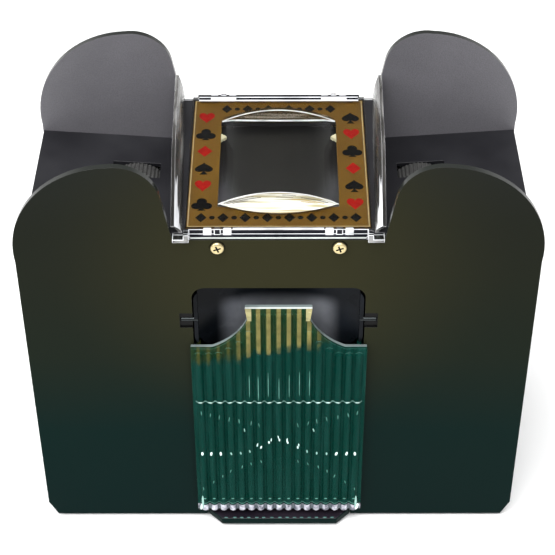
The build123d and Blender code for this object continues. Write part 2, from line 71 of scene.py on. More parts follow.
MM = 0.001
FRONT_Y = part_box("front_panel")[0][1]
BASE_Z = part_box("front_panel")[0][2]
FLOOR_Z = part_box("rubber_feet")[0][2]
SIDES = {"left": -1, "right": 1}

# The ribs down the tray's front, in millimetres. The middle one's crest is at x = 0.
RIB_COUNT = 17
RIB_PITCH = 4.2


def at(x, y, z):
    """Metres from millimetres right, behind the front panel's face and above its base."""
    return Vector((x * MM, FRONT_Y + y * MM, BASE_Z + z * MM))


def preset(node, **values):
    """Sets a node's sockets by name, with underscores for spaces."""
    for socket, value in values.items():
        node.inputs[socket.replace("_", " ")].default_value = value


def ranged(tree, value, start, end, low=0.0, high=1.0, easing="SMOOTHSTEP"):
    """Adds a node that goes from low, where value is at start, to high, where it is at end."""
    made = tree.nodes.new("ShaderNodeMapRange")
    made.interpolation_type = easing
    preset(made, From_Min=start, From_Max=end, To_Min=low, To_Max=high)
    tree.links.new(value, made.inputs["Value"])
    return made.outputs["Result"]


# Materials

# A noise texture's values lie mostly between these.
NOISE_RANGE = (0.3, 0.7)


class Shade:
    """A new material, with short calls that add and link its nodes."""

    def __init__(self, name, colour, roughness, specular=0.5, **sockets):
        self.material = bpy.data.materials.new(name)
        self.material.use_nodes = True
        self.tree = self.material.node_tree
        self.shader = self.tree.nodes["Principled BSDF"]
        preset(self.shader, Base_Color=(*colour, 1), Roughness=roughness)
        preset(self.shader, Specular_IOR_Level=specular, **sockets)
        self.place = self.node("TexCoord").outputs["Object"]

    def node(self, kind, **settings):
        made = self.tree.nodes.new("ShaderNode" + kind)
        for key, value in settings.items():
            setattr(made, key, value)
        return made

    def link(self, output, target):
        self.tree.links.new(output, target)

    def axis(self, name):
        """The surface point's X, Y or Z in metres."""
        parts = self.node("SeparateXYZ")
        self.link(self.place, parts.inputs["Vector"])
        return parts.outputs[name]

    def aside(self):
        """How far the surface point is from the middle, to either side."""
        return self.maths("ABSOLUTE", self.axis("X"))

    def maths(self, operation, *values):
        made = self.node("Math", operation=operation)
        for socket, value in zip(made.inputs, values):
            if isinstance(value, float):
                socket.default_value = value
            else:
                self.link(value, socket)
        return made.outputs[0]

    def stretched(self, scale):
        mapping = self.node("Mapping")
        preset(mapping, Scale=scale)
        self.link(self.place, mapping.inputs["Vector"])
        return mapping.outputs["Vector"]

    def noise(self, scale, detail=3.0, rough=0.55, where=None):
        made = self.node("TexNoise")
        preset(made, Scale=scale, Detail=detail, Roughness=rough)
        self.link(where or self.place, made.inputs["Vector"])
        return made.outputs["Fac"]

    def ramp(self, value, *stops):
        made = self.node("ValToRGB")
        while len(made.color_ramp.elements) < len(stops):
            made.color_ramp.elements.new(0.5)
        for element, (position, colour) in zip(made.color_ramp.elements, stops):
            element.position = position
            element.color = (*colour, 1)
        self.link(value, made.inputs["Fac"])
        return made.outputs["Color"]

    def ranged(self, value, *limits, **easing):
        return ranged(self.tree, value, *limits, **easing)

    def spread(self, noise, low, high):
        return self.ranged(noise, *NOISE_RANGE, low, high, easing="LINEAR")

    def mixed(self, factor, first, second):
        made = self.node("Mix", data_type="RGBA")
        self.link(factor, made.inputs[0])
        for slot, value in ((6, first), (7, second)):
            if isinstance(value, tuple):
                made.inputs[slot].default_value = (*value, 1)
            else:
                self.link(value, made.inputs[slot])
        return made.outputs[2]

    def colour(self, output):
        self.link(output, self.shader.inputs["Base Color"])

    def mottled(self, noise, dark, light):
        dark_at, light_at = NOISE_RANGE
        self.colour(self.ramp(noise, (dark_at, dark), (light_at, light)))

    def rough(self, noise, low, high):
        self.link(self.spread(noise, low, high), self.shader.inputs["Roughness"])

    def bump(self, height, distance, strength=0.5):
        made = self.node("Bump")
        preset(made, Distance=distance, Strength=strength)
        self.link(height, made.inputs["Height"])
        self.link(made.outputs["Normal"], self.shader.inputs["Normal"])


# Shares of BODY_TOP, the height at which the last tint is reached, each with its tint. The tints
# are painted reflection: dark green near the base, olive higher up.
BODY_TOP = 0.2
BODY_REFLECTION_TINTS = [
    (0.0, (0.0004, 0.0080, 0.0074)),
    (0.28, (0.0008, 0.0092, 0.0078)),
    (0.5, (0.0070, 0.0108, 0.0066)),
    (0.72, (0.0096, 0.0112, 0.0068)),
    (0.85, (0.0096, 0.0108, 0.0073)),
    (1.0, (0.0115, 0.0124, 0.0106)),
]


def body_plastic():
    """Glossy black moulding, with painted reflection: dark green near the base and olive towards
    the top middle.
    """
    shade = Shade("body_gloss", (0.012, 0.015, 0.01), 0.2, 0.03)
    height = shade.ranged(shade.axis("Z"), 0.0, BODY_TOP, easing="LINEAR")
    cloud = shade.spread(shade.noise(9.0, 2.0), 0.0, 0.2)
    base = shade.mixed(cloud, shade.ramp(height, *BODY_REFLECTION_TINTS), (0.005, 0.009, 0.007))
    # Painted reflection: olive round a point at the top middle of the front panel.
    away = shade.node("VectorMath", operation="DISTANCE")
    away.inputs[1].default_value = at(0, 0, 150)
    shade.link(shade.place, away.inputs[0])
    painted_warm_reflection = shade.ranged(away.outputs["Value"], 0.015, 0.1, 0.9, 0.0)
    shade.colour(shade.mixed(painted_warm_reflection, base, (0.0215, 0.0205, 0.0085)))
    shade.rough(shade.noise(60.0, 4.0), 0.16, 0.25)
    shade.bump(shade.noise(700.0, 2.0), 0.00002, 0.15)
    return shade.material


def recess_painted_shade():
    """Painted shade: dark textured plastic in the pin pockets, the screw recesses and the rings
    round the screw heads.
    """
    shade = Shade("recess_painted_shade", (0.002, 0.002, 0.002), 0.4, 0.1)
    speck = shade.noise(900.0, 3.0)
    shade.mottled(speck, (0.001, 0.001, 0.001), (0.004, 0.004, 0.004))
    shade.rough(speck, 0.3, 0.5)
    return shade.material


def flap_plastic():
    """Bluish grey moulding of the flap, cloudy, with painted light in its middle and painted shade
    towards its top and sides.
    """
    shade = Shade("flap_grey_painted_light", (0.008, 0.0095, 0.012), 0.3, 0.06)
    # Painted light across the middle, fading to painted shade at the sides and, under the panel's
    # top edge, at the top.
    inside = shade.ranged(shade.aside(), 0.018, 0.0265, 1.0, 0.0)
    fade_from, fade_to = BASE_Z + 119.5 * MM, BASE_Z + 127.5 * MM
    below = shade.ranged(shade.axis("Z"), fade_from, fade_to, 1.0, 0.0)
    cloud = shade.noise(34.0, 4.0, 0.6)
    dark = shade.ramp(cloud, (0.35, (0.002, 0.0026, 0.0035)), (0.65, (0.0085, 0.0105, 0.014)))
    light = shade.ramp(cloud, (0.35, (0.1, 0.105, 0.12)), (0.65, (0.165, 0.172, 0.19)))
    shade.colour(shade.mixed(shade.maths("MULTIPLY", inside, below), dark, light))
    shade.rough(cloud, 0.22, 0.4)
    shade.bump(shade.noise(1100.0, 2.0), 0.00003, 0.2)
    return shade.material


def body_rim():
    """The body's moulding on the rounded edges, where it is polished and catches the light."""
    shade = Shade("body_rim_gloss", (0.014, 0.016, 0.014), 0.16, 0.4)
    shade.rough(shade.noise(90.0, 3.0), 0.12, 0.22)
    return shade.material


def inner_texture():
    """Fine spark texture on the inner faces of the panels."""
    shade = Shade("panel_spark_texture", (0.1, 0.1, 0.11), 0.55)
    grain = shade.noise(2600.0, 2.0, 0.7)
    fine = shade.ramp(grain, (0.3, (0.075, 0.073, 0.082)), (0.7, (0.15, 0.145, 0.16)))
    cloud = shade.spread(shade.noise(24.0, 3.0), 0.0, 0.35)
    shade.colour(shade.mixed(cloud, fine, (0.05, 0.05, 0.055)))
    shade.rough(grain, 0.45, 0.65)
    shade.bump(grain, 0.00008, 0.5)
    return shade.material


def tongue_plastic():
    """The polished base moulding, dark with a purple cast, a painted reflection of the tray."""
    shade = Shade("base_gloss", (0.012, 0.009, 0.014), 0.08, 0.36)
    patch = shade.noise(40.0, 3.0)
    shade.mottled(patch, (0.008, 0.006, 0.010), (0.018, 0.014, 0.020))
    shade.rough(shade.noise(300.0, 3.0), 0.06, 0.14)
    return shade.material


def deflector_painted_reflection():
    """Matt dark moulding seen down through the window, with painted reflection lightening its front
    corners.
    """
    shade = Shade("deflector_matte_painted_reflection", (0.012, 0.012, 0.011), 0.55, 0.25)
    patch = shade.noise(35.0, 3.0)
    dark = shade.ramp(patch, (0.3, (0.005, 0.005, 0.0042)), (0.7, (0.012, 0.0115, 0.0095)))
    # Painted reflection: lighter towards the front corners.
    corner = shade.maths("MULTIPLY_ADD", shade.axis("Y"), -0.35, shade.aside())
    light = shade.ranged(corner, 0.016, 0.032, 0.0, 0.8)
    shade.colour(shade.mixed(light, dark, (0.1, 0.102, 0.112)))
    shade.rough(patch, 0.42, 0.6)
    shade.bump(shade.noise(1500.0, 3.0, 0.6), 0.00004, 0.35)
    return shade.material


def matte_black():
    """Dull dark moulding of the inner parts, with a fine grain."""
    shade = Shade("inner_moulding", (0.022, 0.022, 0.025), 0.42, 0.25)
    patch = shade.noise(30.0, 3.0)
    shade.mottled(patch, (0.009, 0.009, 0.011), (0.018, 0.018, 0.021))
    shade.rough(patch, 0.3, 0.46)
    shade.bump(shade.noise(1500.0, 3.0, 0.6), 0.00004, 0.35)
    return shade.material


def clear_plastic():
    """Water-clear moulding. Its low index keeps it free of a white veil."""
    tint = (0.98, 0.985, 0.98)
    shade = Shade("clear_moulding", tint, 0.01, 0.02, IOR=1.16, Transmission_Weight=1.0)
    shade.rough(shade.noise(40.0, 4.0), 0.0, 0.02)
    return shade.material


def clear_guide_painted_streaks():
    """Thicker clear moulding, a little grey from the side, with bright upright streaks that are
    painted highlights.
    """
    shade = Shade("clear_guide_painted_streaks", (0.3, 0.3, 0.3), 0.12, 0.4, IOR=1.3, Transmission_Weight=0.6)
    streak = shade.noise(150.0, 3.0, 0.5, shade.stretched((1.0, 0.12, 1.0)))
    dark, middle, pale = (0.05, 0.048, 0.045), (0.13, 0.125, 0.12), (0.55, 0.55, 0.54)
    shade.colour(shade.ramp(streak, (0.4, dark), (0.52, middle), (0.64, pale)))
    shade.rough(streak, 0.08, 0.2)
    return shade.material


def clear_edge(name="clear_edge", colour=(0.9, 0.91, 0.94), transmission=0.2, specular=0.5):
    """A clear moulding's colour with fine streaks. By default a painted highlight for the cut and
    rounded edges, which gather light and look white; in other colours it also paints glints, shade
    and tinted strips.
    """
    shade = Shade(name, colour, 0.2, specular, IOR=1.3, Transmission_Weight=transmission)
    streak = shade.noise(90.0, 2.0, 0.5, shade.stretched((1.0, 0.3, 3.0)))
    shade.colour(shade.ramp(streak, (0.4, dimmed(colour, 0.72)), (0.55, colour)))
    shade.rough(streak, 0.12, 0.3)
    return shade.material


def vault_front():
    """Painted glare on the vault's front end and its run-out: pale where the light gathers, fading
    to gold.
    """
    shade = Shade("vault_front_painted_glare", (0.95, 0.94, 0.86), 0.25, Transmission_Weight=0.12)
    run = shade.ranged(shade.axis("Y"), FRONT_Y + 11.0 * MM, FRONT_Y + 15.5 * MM)
    line = shade.noise(1.0, 2.0, 0.5, shade.stretched((40.0, 900.0, 900.0)))
    dark, middle, pale = (0.42, 0.38, 0.22), (0.78, 0.77, 0.68), (0.86, 0.86, 0.82)
    fine = shade.ramp(line, (0.36, dark), (0.5, middle), (0.7, pale))
    shade.colour(shade.mixed(run, (0.42, 0.29, 0.1), fine))
    shade.rough(line, 0.2, 0.35)
    return shade.material


def vault_back():
    """The back end of the vault: mostly clear over a painted gold, the label as seen through it,
    with pale lines across it that are painted highlights.
    """
    shade = Shade("vault_back_painted_highlights", (0.8, 0.78, 0.7), 0.1, IOR=1.3, Transmission_Weight=0.75)
    line = shade.noise(1.0, 2.0, 0.5, shade.stretched((30.0, 700.0, 700.0)))
    dark, middle, pale = (0.1, 0.065, 0.015), (0.22, 0.16, 0.055), (0.9, 0.88, 0.8)
    shade.colour(shade.ramp(line, (0.38, dark), (0.54, middle), (0.68, pale)))
    shade.rough(line, 0.05, 0.2)
    return shade.material


def rib_phase(shade):
    """-1 in the grooves of the tray's front and 1 along the crests of its ribs."""
    phase = shade.maths("MULTIPLY", shade.axis("X"), 2 * math.pi / (RIB_PITCH * MM))
    return shade.maths("COSINE", phase)


def tray_plastic():
    """Green-tinted clear moulding, with painted highlights on its crests and in upright streaks.
    The tab's ribs are painted pale olive for the light that comes through them.
    """
    tint = (0.01, 0.1, 0.07)
    shade = Shade("tray_green_clear", tint, 0.14, 0.04, IOR=1.12, Transmission_Weight=0.42)
    crest = rib_phase(shade)

    # Below the tab: painted highlights, lighter on the crests and in upright streaks.
    groove, flank, top = (0.0012, 0.040, 0.029), (0.0016, 0.043, 0.031), (0.0034, 0.052, 0.039)
    low = shade.ramp(crest, (0.0, groove), (0.6, flank), (0.95, top))
    cloud = shade.spread(shade.noise(26.0, 2.0), 0.0, 0.35)
    streak = shade.noise(1.0, 2.0, 0.5, shade.stretched((520.0, 20.0, 26.0)))
    dusk = shade.mixed(cloud, low, (0.002, 0.036, 0.027))
    dusk = shade.mixed(shade.spread(streak, -0.25, 0.5), dusk, (0.014, 0.085, 0.07))

    # On the tab: painted light, olive on the crests and fainter towards the sides.
    groove, flank, top = (0.006, 0.048, 0.02), (0.05, 0.075, 0.024), (0.33, 0.28, 0.1)
    lit = shade.ramp(crest, (0.0, groove), (0.2, flank), (0.4, top))
    faint = shade.ramp(crest, (0.3, (0.003, 0.035, 0.016)), (0.75, (0.07, 0.08, 0.022)))
    side = shade.ranged(shade.aside(), 0.012, 0.02)
    speck = shade.spread(shade.noise(230.0, 3.0), 0.0, 0.55)
    olive = shade.mixed(speck, shade.mixed(side, lit, faint), (0.045, 0.06, 0.02))

    # The painted light's lower edge slopes across the tab, ragged with noise.
    slope = shade.maths("MULTIPLY_ADD", shade.axis("X"), -0.22, shade.axis("Z"))
    ragged = shade.maths("MULTIPLY_ADD", shade.noise(160.0, 2.0), 0.012, slope)
    tab = shade.ranged(ragged, BASE_Z + 108 * MM, BASE_Z + 114 * MM)
    shade.colour(shade.mixed(tab, dusk, olive))
    shade.rough(shade.noise(70.0, 3.0), 0.1, 0.2)
    return shade.material


def tray_foot_highlight():
    """Painted highlight on the foot of the tray's ribs: white on each crest and grey in the
    grooves.
    """
    shade = Shade("tray_foot_painted_highlight", (0.6, 0.62, 0.66), 0.2, Transmission_Weight=0.15)
    patch = shade.noise(420.0, 3.0)
    bright = shade.ramp(patch, (0.38, (0.12, 0.12, 0.16)), (0.62, (0.62, 0.62, 0.7)))
    edge = shade.ranged(rib_phase(shade), -0.9, 0.3)
    shade.colour(shade.mixed(edge, (0.1, 0.12, 0.14), bright))
    shade.rough(patch, 0.15, 0.3)
    return shade.material


def gold_foil():
    """Dull gold printed foil, faintly cloudy."""
    shade = Shade("label_gold", (0.2, 0.1, 0.016), 0.42, 0.1, Metallic=0.1)
    cloud = shade.noise(14.0, 4.0, 0.6)
    fine = shade.noise(1200.0, 2.0)
    shade.mottled(cloud, (0.082, 0.04, 0.0035), (0.135, 0.07, 0.007))
    shade.rough(fine, 0.34, 0.5)
    shade.bump(fine, 0.00002, 0.2)
    return shade.material


def dimmed(colour, share):
    return tuple(channel * share for channel in colour)


def ink(name, colour):
    """Printing ink with a little speckle."""
    shade = Shade(name, colour, 0.35, 0.03)
    speck = shade.noise(500.0, 3.0)
    shade.colour(shade.ramp(speck, (0.3, dimmed(colour, 0.75)), (0.65, colour)))
    shade.rough(speck, 0.3, 0.45)
    return shade.material


def metal(name, colour, low, high, brush=(1.0, 1.0, 1.0), scale=300.0):
    """Metal with roughness from low to high, streaked where brush stretches its noise."""
    shade = Shade(name, colour, low, Metallic=1.0)
    streak = shade.noise(scale, 3.0, 0.6, shade.stretched(brush))
    shade.mottled(streak, dimmed(colour, 0.78), colour)
    shade.rough(streak, low, high)
    shade.bump(streak, 0.00002, 0.3)
    return shade.material


def moulded(name, colour, low=0.35, high=0.5, grain=900.0):
    """Opaque coloured moulding with roughness from low to high."""
    shade = Shade(name, colour, low)
    patch = shade.noise(50.0, 3.0)
    shade.mottled(patch, dimmed(colour, 0.85), colour)
    shade.rough(patch, low, high)
    shade.bump(shade.noise(grain, 2.0), 0.00003, 0.3)
    return shade.material


def rubber(name):
    """Dull black rubber, speckled."""
    shade = Shade(name, (0.03, 0.03, 0.03), 0.75)
    speck = shade.noise(700.0, 4.0, 0.7)
    shade.colour(shade.ramp(speck, (0.3, (0.018, 0.018, 0.018)), (0.75, (0.05, 0.049, 0.047))))
    shade.rough(speck, 0.65, 0.85)
    shade.bump(speck, 0.00008, 0.5)
    return shade.material


def cell_jacket():
    """The cells' printed sleeve: black, with a copper band at the contact's end."""
    shade = Shade("cell_jacket", (0.05, 0.05, 0.055), 0.3)
    along = shade.ranged(shade.axis("X"), 0.04, 0.092, easing="LINEAR")
    black, grey, copper = (0.03, 0.03, 0.035), (0.035, 0.035, 0.04), (0.5, 0.28, 0.06)
    shade.colour(shade.ramp(along, (0.0, black), (0.7, grey), (0.72, copper)))
    shade.rough(shade.noise(80.0, 3.0), 0.22, 0.36)
    return shade.material


MATERIALS = {
    "body_plastic": body_plastic(),
    "inner_plastic": matte_black(),
    "clear_plastic": clear_plastic(),
    "green_clear": tray_plastic(),
    "gold_label": gold_foil(),
    "ivory_plastic": moulded("ivory_moulding", (0.72, 0.68, 0.45)),
    "pin_steel": metal("pin_steel", (0.03, 0.034, 0.035), 0.12, 0.24),
    "foot_rubber": rubber("foot_rubber"),
    "tyre_rubber": rubber("tyre_rubber"),
    "cell_jacket": cell_jacket(),
    "contact_steel": metal("contact_nickel", (0.7, 0.68, 0.64), 0.2, 0.32),
    "button_plastic": moulded("button_red", (0.4, 0.02, 0.02), 0.22, 0.32),
    "board_green": moulded("board_mask", (0.01, 0.11, 0.04), 0.25, 0.4, 400.0),
    "component_black": moulded("component_black", (0.02, 0.02, 0.022)),
    "screw_brass": metal("screw_brass", (0.62, 0.52, 0.28), 0.25, 0.4),
    "screw_steel": metal("screw_blacked", (0.12, 0.12, 0.13), 0.3, 0.42),
    "shaft_steel": metal("shaft_ground", (0.62, 0.62, 0.64), 0.16, 0.3, (1.0, 0.05, 1.0), 900.0),
    "gear_nylon": moulded("gear_nylon", (0.72, 0.72, 0.68)),
    "motor_steel": metal("motor_plated", (0.6, 0.6, 0.6), 0.25, 0.4, (1.0, 0.1, 1.0), 500.0),
    "cap_nylon": moulded("cap_nylon", (0.6, 0.6, 0.57)),
    "armature_steel": metal(
        "armature_stack", (0.4, 0.36, 0.32), 0.35, 0.5, (0.05, 20.0, 0.05), 90.0
    ),
    "pinion_brass": metal("pinion_brass", (0.8, 0.62, 0.28), 0.2, 0.32),
}
INNER_TEXTURE = inner_texture()
BODY_RIM = body_rim()
# White painted highlight for the clear mouldings' edges, lines and lugs.
CLEAR_EDGE_HIGHLIGHT = clear_edge()
# Dark painted shade for the cover's ledges, gaps and lines.
CLEAR_GAP_SHADE = clear_edge("clear_gap_painted_shade", (0.012, 0.013, 0.018), 0.1, 0.3)
VAULT_FRONT_GLARE = vault_front()
VAULT_BACK_HIGHLIGHTS = vault_back()
GUIDE_PAINTED_STREAKS = clear_guide_painted_streaks()
TRAY_RIM_HIGHLIGHT = clear_edge("tray_rim_painted_highlight", (0.72, 0.76, 0.74))
TRAY_TOP_HIGHLIGHT = clear_edge("tray_top_painted_highlight", (0.2, 0.245, 0.245))
PAINTED_GLINT_MID = clear_edge("tray_painted_glint_mid", (0.3, 0.5, 0.45), 0.0)
RECESS_PAINTED_SHADE = recess_painted_shade()
FLAP_GREY_PAINTED_LIGHT = flap_plastic()
TRAY_SIDE = clear_edge("tray_side_green", (0.012, 0.095, 0.07), 0.3, 0.1)
TAB_SIDE_PAINTED_LIGHT = clear_edge("tab_side_painted_light", (0.42, 0.38, 0.18))
TRAY_FOOT_HIGHLIGHT = tray_foot_highlight()
PAINTED_GLINT = clear_edge("tray_painted_glint", (0.8, 0.95, 0.93), 0.0)
PAINTED_GLINT_DIM = clear_edge("tray_painted_glint_dim", (0.1, 0.25, 0.21), 0.0)
TONGUE_PAINTED_GLINT = clear_edge("tongue_painted_glint", (0.07, 0.17, 0.15), 0.0)
TONGUE = tongue_plastic()
FLOW_DARK = ink("flow_dark", (0.06, 0.05, 0.04))
FLOW_GOLD = ink("flow_gold", (0.5, 0.34, 0.08))
PIP_RED = ink("pip_red", (0.27, 0.005, 0.003))
PIP_BLACK = ink("pip_black", (0.002, 0.002, 0.002))
BORDER_INK = ink("border_pale", (0.36, 0.29, 0.16))
SLOT_OF = {part["node"]: part["material_slot"] for part in frame["record"]["subparts"]}
BODY_OF = {
    node: body for body, nodes in frame["record"]["behaviour"]["bodies"].items() for node in nodes
}


# Making pieces

# Edges at which the surface turns by more than this are rounded, in degrees.
ROUND_FROM = 28.0


def new_piece(name, mesh, body, slot, material=None, stands_for=()):
    """A piece that rides a body and stands in for the CAD nodes it replaces, if any."""
    piece = bpy.data.objects.new(name, mesh)
    bpy.context.collection.objects.link(piece)
    mesh.materials.clear()
    mesh.materials.append(material or MATERIALS[slot])
    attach(piece, body)
    if stands_for:
        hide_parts(*stands_for)
    return piece


def soften(mesh, angle=40.0):
    """Smooth shading, except at edges that turn by more than the angle in degrees."""
    for face in mesh.polygons:
        face.use_smooth = True
    mesh.set_sharp_from_angle(angle=math.radians(angle))


def mesh_from(work, name):
    mesh = bpy.data.meshes.new(name)
    work.to_mesh(mesh)
    work.free()
    return mesh


def finished(work, name, body, slot, material=None, stands_for=(), angle=40.0):
    """Turns work into a piece with smooth shading below the angle."""
    bmesh.ops.recalc_face_normals(work, faces=work.faces)
    mesh = mesh_from(work, name)
    soften(mesh, angle)
    return new_piece(name, mesh, body, slot, material, stands_for)


def ovals(name, shapes, body, slot, material):
    """A piece of small ovals. Each matrix in shapes places and stretches a ball of radius one."""
    work = bmesh.new()
    for shape in shapes:
        bmesh.ops.create_icosphere(work, subdivisions=2, radius=1, matrix=shape)
    mesh = mesh_from(work, name)
    soften(mesh)
    new_piece(name, mesh, body, slot, material)


def around(count):
    """Angles at even steps round a circle, in radians."""
    return [2 * math.pi * step / count for step in range(count)]


def skin(work, rows, closed=False):
    """Joins rings of vertices, with a cap at both ends or, if closed, the last to the first."""
    for first, second in zip(rows, rows[1:] + rows[:1] if closed else rows[1:]):
        for index, vert in enumerate(first):
            after = (index + 1) % len(first)
            work.faces.new((vert, first[after], second[after], second[index]))
    if not closed:
        work.faces.new(rows[0][::-1])
        work.faces.new(rows[-1])


def extruded(work):
    """Doubles every face of work and joins the rims. Gives the doubles' vertices."""
    made = bmesh.ops.extrude_face_region(work, geom=work.faces[:])
    return [part for part in made["geom"] if isinstance(part, bmesh.types.BMVert)]


def welded_mesh(node, name):
    """A copy of the node's mesh, its flat areas joined up so that its edges can be rounded."""
    mesh = frame["nodes"][node].data.copy()
    mesh.name = name
    work = bmesh.new()
    work.from_mesh(mesh)
    bmesh.ops.remove_doubles(work, verts=work.verts, dist=0.000002)
    bmesh.ops.dissolve_limit(
        work, angle_limit=math.radians(0.6), verts=work.verts, edges=work.edges
    )
    work.to_mesh(mesh)
    work.free()
    return mesh


def with_modifiers(piece):
    """Gives the piece the mesh that its modifiers make, and removes them."""
    depsgraph = bpy.context.evaluated_depsgraph_get()
    made = bpy.data.meshes.new_from_object(piece.evaluated_get(depsgraph))
    piece.modifiers.clear()
    piece.data = made


def rounded(node, width, segments=2, material=None):
    """A copy of a node with its edges rounded to width millimetres."""
    mesh = welded_mesh(node, node + "_rounded")
    piece = new_piece(node + "_rounded", mesh, BODY_OF[node], SLOT_OF[node], material, (node,))
    bevel = piece.modifiers.new("round", "BEVEL")
    bevel.width = width * MM
    bevel.segments = segments
    bevel.limit_method = "ANGLE"
    bevel.angle_limit = math.radians(ROUND_FROM)
    bevel.use_clamp_overlap = True
    with_modifiers(piece)
    soften(piece.data, 35.0)
    even = piece.modifiers.new("even", "WEIGHTED_NORMAL")
    even.keep_sharp = True
    return piece


def cut(piece, **places):
    """Splits the piece's faces at the places on each axis, in millimetres."""
    work = bmesh.new()
    work.from_mesh(piece.data)
    for axis, places_on_it in places.items():
        normal = [float(letter == axis) for letter in "xyz"]
        for place in places_on_it:
            geometry = work.verts[:] + work.edges[:] + work.faces[:]
            spot = at(*(place * share for share in normal))
            bmesh.ops.bisect_plane(work, geom=geometry, plane_co=spot, plane_no=normal)
    work.to_mesh(piece.data)
    work.free()


def paint(piece, material, chosen):
    """Gives a material to the faces for which chosen(centre in the mm frame, normal) is true."""
    piece.data.materials.append(material)
    index = len(piece.data.materials) - 1
    origin = at(0, 0, 0)
    for face in piece.data.polygons:
        if chosen((face.center - origin) / MM, face.normal):
            face.material_index = index


# Pieces that keep the CAD shape

OWN_MATERIAL = {"card_deflector": deflector_painted_reflection(), "base_plate": TONGUE}
for node, cad_object in frame["nodes"].items():
    cad_object.data.materials.clear()
    cad_object.data.materials.append(OWN_MATERIAL.get(node) or MATERIALS[SLOT_OF[node]])


# Panels


def in_pin_pocket(c, n):
    """True in the shallow pockets beside the opening that hold the ends of the flap's pins."""
    return 35.6 < abs(c.x) < 41.0 and 114.7 < c.z < 122.9 and 0.02 < c.y < 2.4


def panels():
    """The front and back panels, with polished edges and textured inner faces."""
    for node, inward in (("front_panel", 1), ("back_panel", -1)):
        panel = rounded(node, 1.1, 4)
        paint(panel, INNER_TEXTURE, lambda c, n: n.y * inward > 0.9)
        paint(panel, BODY_RIM, lambda c, n: -n.y * inward < 0.93 and n.y * inward < 0.9)
        # The front panel's pin pockets get painted shade.
        if inward == 1:
            paint(panel, RECESS_PAINTED_SHADE, in_pin_pocket)


# Card tray

TRAY_HALF = 36.8
TRAY_FOOT_TOP = 10.2
# Depths at which the painted highlight strips along the tops of the tray and of its tab end.
TRAY_TOP_FRONT = -1.7
TAB_TOP_FRONT = -2.7
# Faces above these heights belong to the tray's top and to the tab's top.
TRAY_TOP_LOW = 100
TAB_TOP_LOW = 125
# The tab's ribs reach this far to each side, and beyond it its front has painted olive light near
# its top.
TAB_RIBS_HALF = 11.2
TAB_CUT = 121.0
TAB_SIDE_LOW = 118.5


def on_tray_top(c, n):
    return TRAY_TOP_FRONT < c.y < 0.4 and c.z > TRAY_TOP_LOW and n.z > 0.3


def on_tab_top_front(c, n):
    return TAB_TOP_FRONT < c.y < TRAY_TOP_FRONT and c.z > TAB_TOP_LOW and n.z > 0.9


def on_rib_top(c, n):
    """True on the rounded top ends of the ribs beside the tab."""
    level = TRAY_TOP_LOW < c.z < TAB_TOP_LOW and -2.95 < c.y < TRAY_TOP_FRONT
    return level and n.z > 0.3 and n.y < -0.12


def on_tab_side(c, n):
    return c.y < 0 and c.z > TAB_SIDE_LOW and abs(c.x) > TAB_RIBS_HALF and n.y < -0.5


def tray():
    """The card tray, with painted highlights on its top edge, its rib tops and the feet of its
    ribs, and painted olive light on the tab's sides.
    """
    piece = rounded("card_tray", 0.42, 3)
    ribs = (-TAB_RIBS_HALF, TAB_RIBS_HALF)
    cut(piece, z=(TRAY_FOOT_TOP, TAB_CUT), x=ribs, y=(TRAY_TOP_FRONT, TAB_TOP_FRONT))
    # Painted highlights: along the tray's top, and a white line along the tab's top front.
    paint(piece, TRAY_TOP_HIGHLIGHT, on_tray_top)
    paint(piece, TRAY_RIM_HIGHLIGHT, on_tab_top_front)
    # Painted glints on the rounded tops of the ribs beside the tab.
    paint(piece, PAINTED_GLINT_DIM, on_rib_top)
    paint(piece, TRAY_SIDE, lambda c, n: c.y < 0.4 and abs(c.x) > TRAY_HALF - 0.6)
    # Painted olive light on the tab's sides.
    paint(piece, TAB_SIDE_PAINTED_LIGHT, on_tab_side)
    # Painted highlight on the feet of the ribs.
    paint(piece, TRAY_FOOT_HIGHLIGHT, lambda c, n: c.y < 0 and c.z < TRAY_FOOT_TOP)


RIB_X = [(index - RIB_COUNT // 2) * RIB_PITCH for index in range(RIB_COUNT)]
RIB_RADIUS = 1.8
RIB_AXIS_Y = -2.3
GROOVE_RISE = 0.6
CREASE_Z = 75.2
CREASE_HALF = 35.6


def beads(name, points, material):
    """Painted glints, as small oval beads on the front of the tray's ribs, each from its x, z,
    height and width.
    """
    shapes = []
    for x, z, height, width in points:
        lean = dice.uniform(-0.25, 0.25) if height < 5 else 0.0
        place = Matrix.Translation(at(x, -4.02, z)) @ Matrix.Rotation(lean, 4, "Y")
        shape = Matrix.Diagonal((width / 2 * MM, 0.14 * MM, height / 2 * MM, 1))
        shapes.append(place @ shape)
    ovals(name, shapes, "card_tray", "green_clear", material)


def rib_front(x):
    """How far the tray's front stands out at x: the ribs are round and meet in grooves."""
    from_crest = (x + RIB_PITCH / 2) % RIB_PITCH - RIB_PITCH / 2
    return RIB_AXIS_Y - math.sqrt(max(RIB_RADIUS**2 - from_crest**2, GROOVE_RISE**2))


def crease(name, z, radius, material):
    """A thin raised line that follows the ribs across the tray's front, coloured as a painted
    highlight.
    """
    steps = RIB_COUNT * 12
    work = bmesh.new()
    rows = []
    for step in range(steps + 1):
        x = -CREASE_HALF + 2 * CREASE_HALF * step / steps
        middle = at(x, rib_front(x), z)
        spokes = [Vector((0, math.cos(turn), math.sin(turn))) for turn in around(6)]
        rows.append([work.verts.new(middle + spoke * radius * MM) for spoke in spokes])
    skin(work, rows)
    finished(work, name, "card_tray", "green_clear", material)


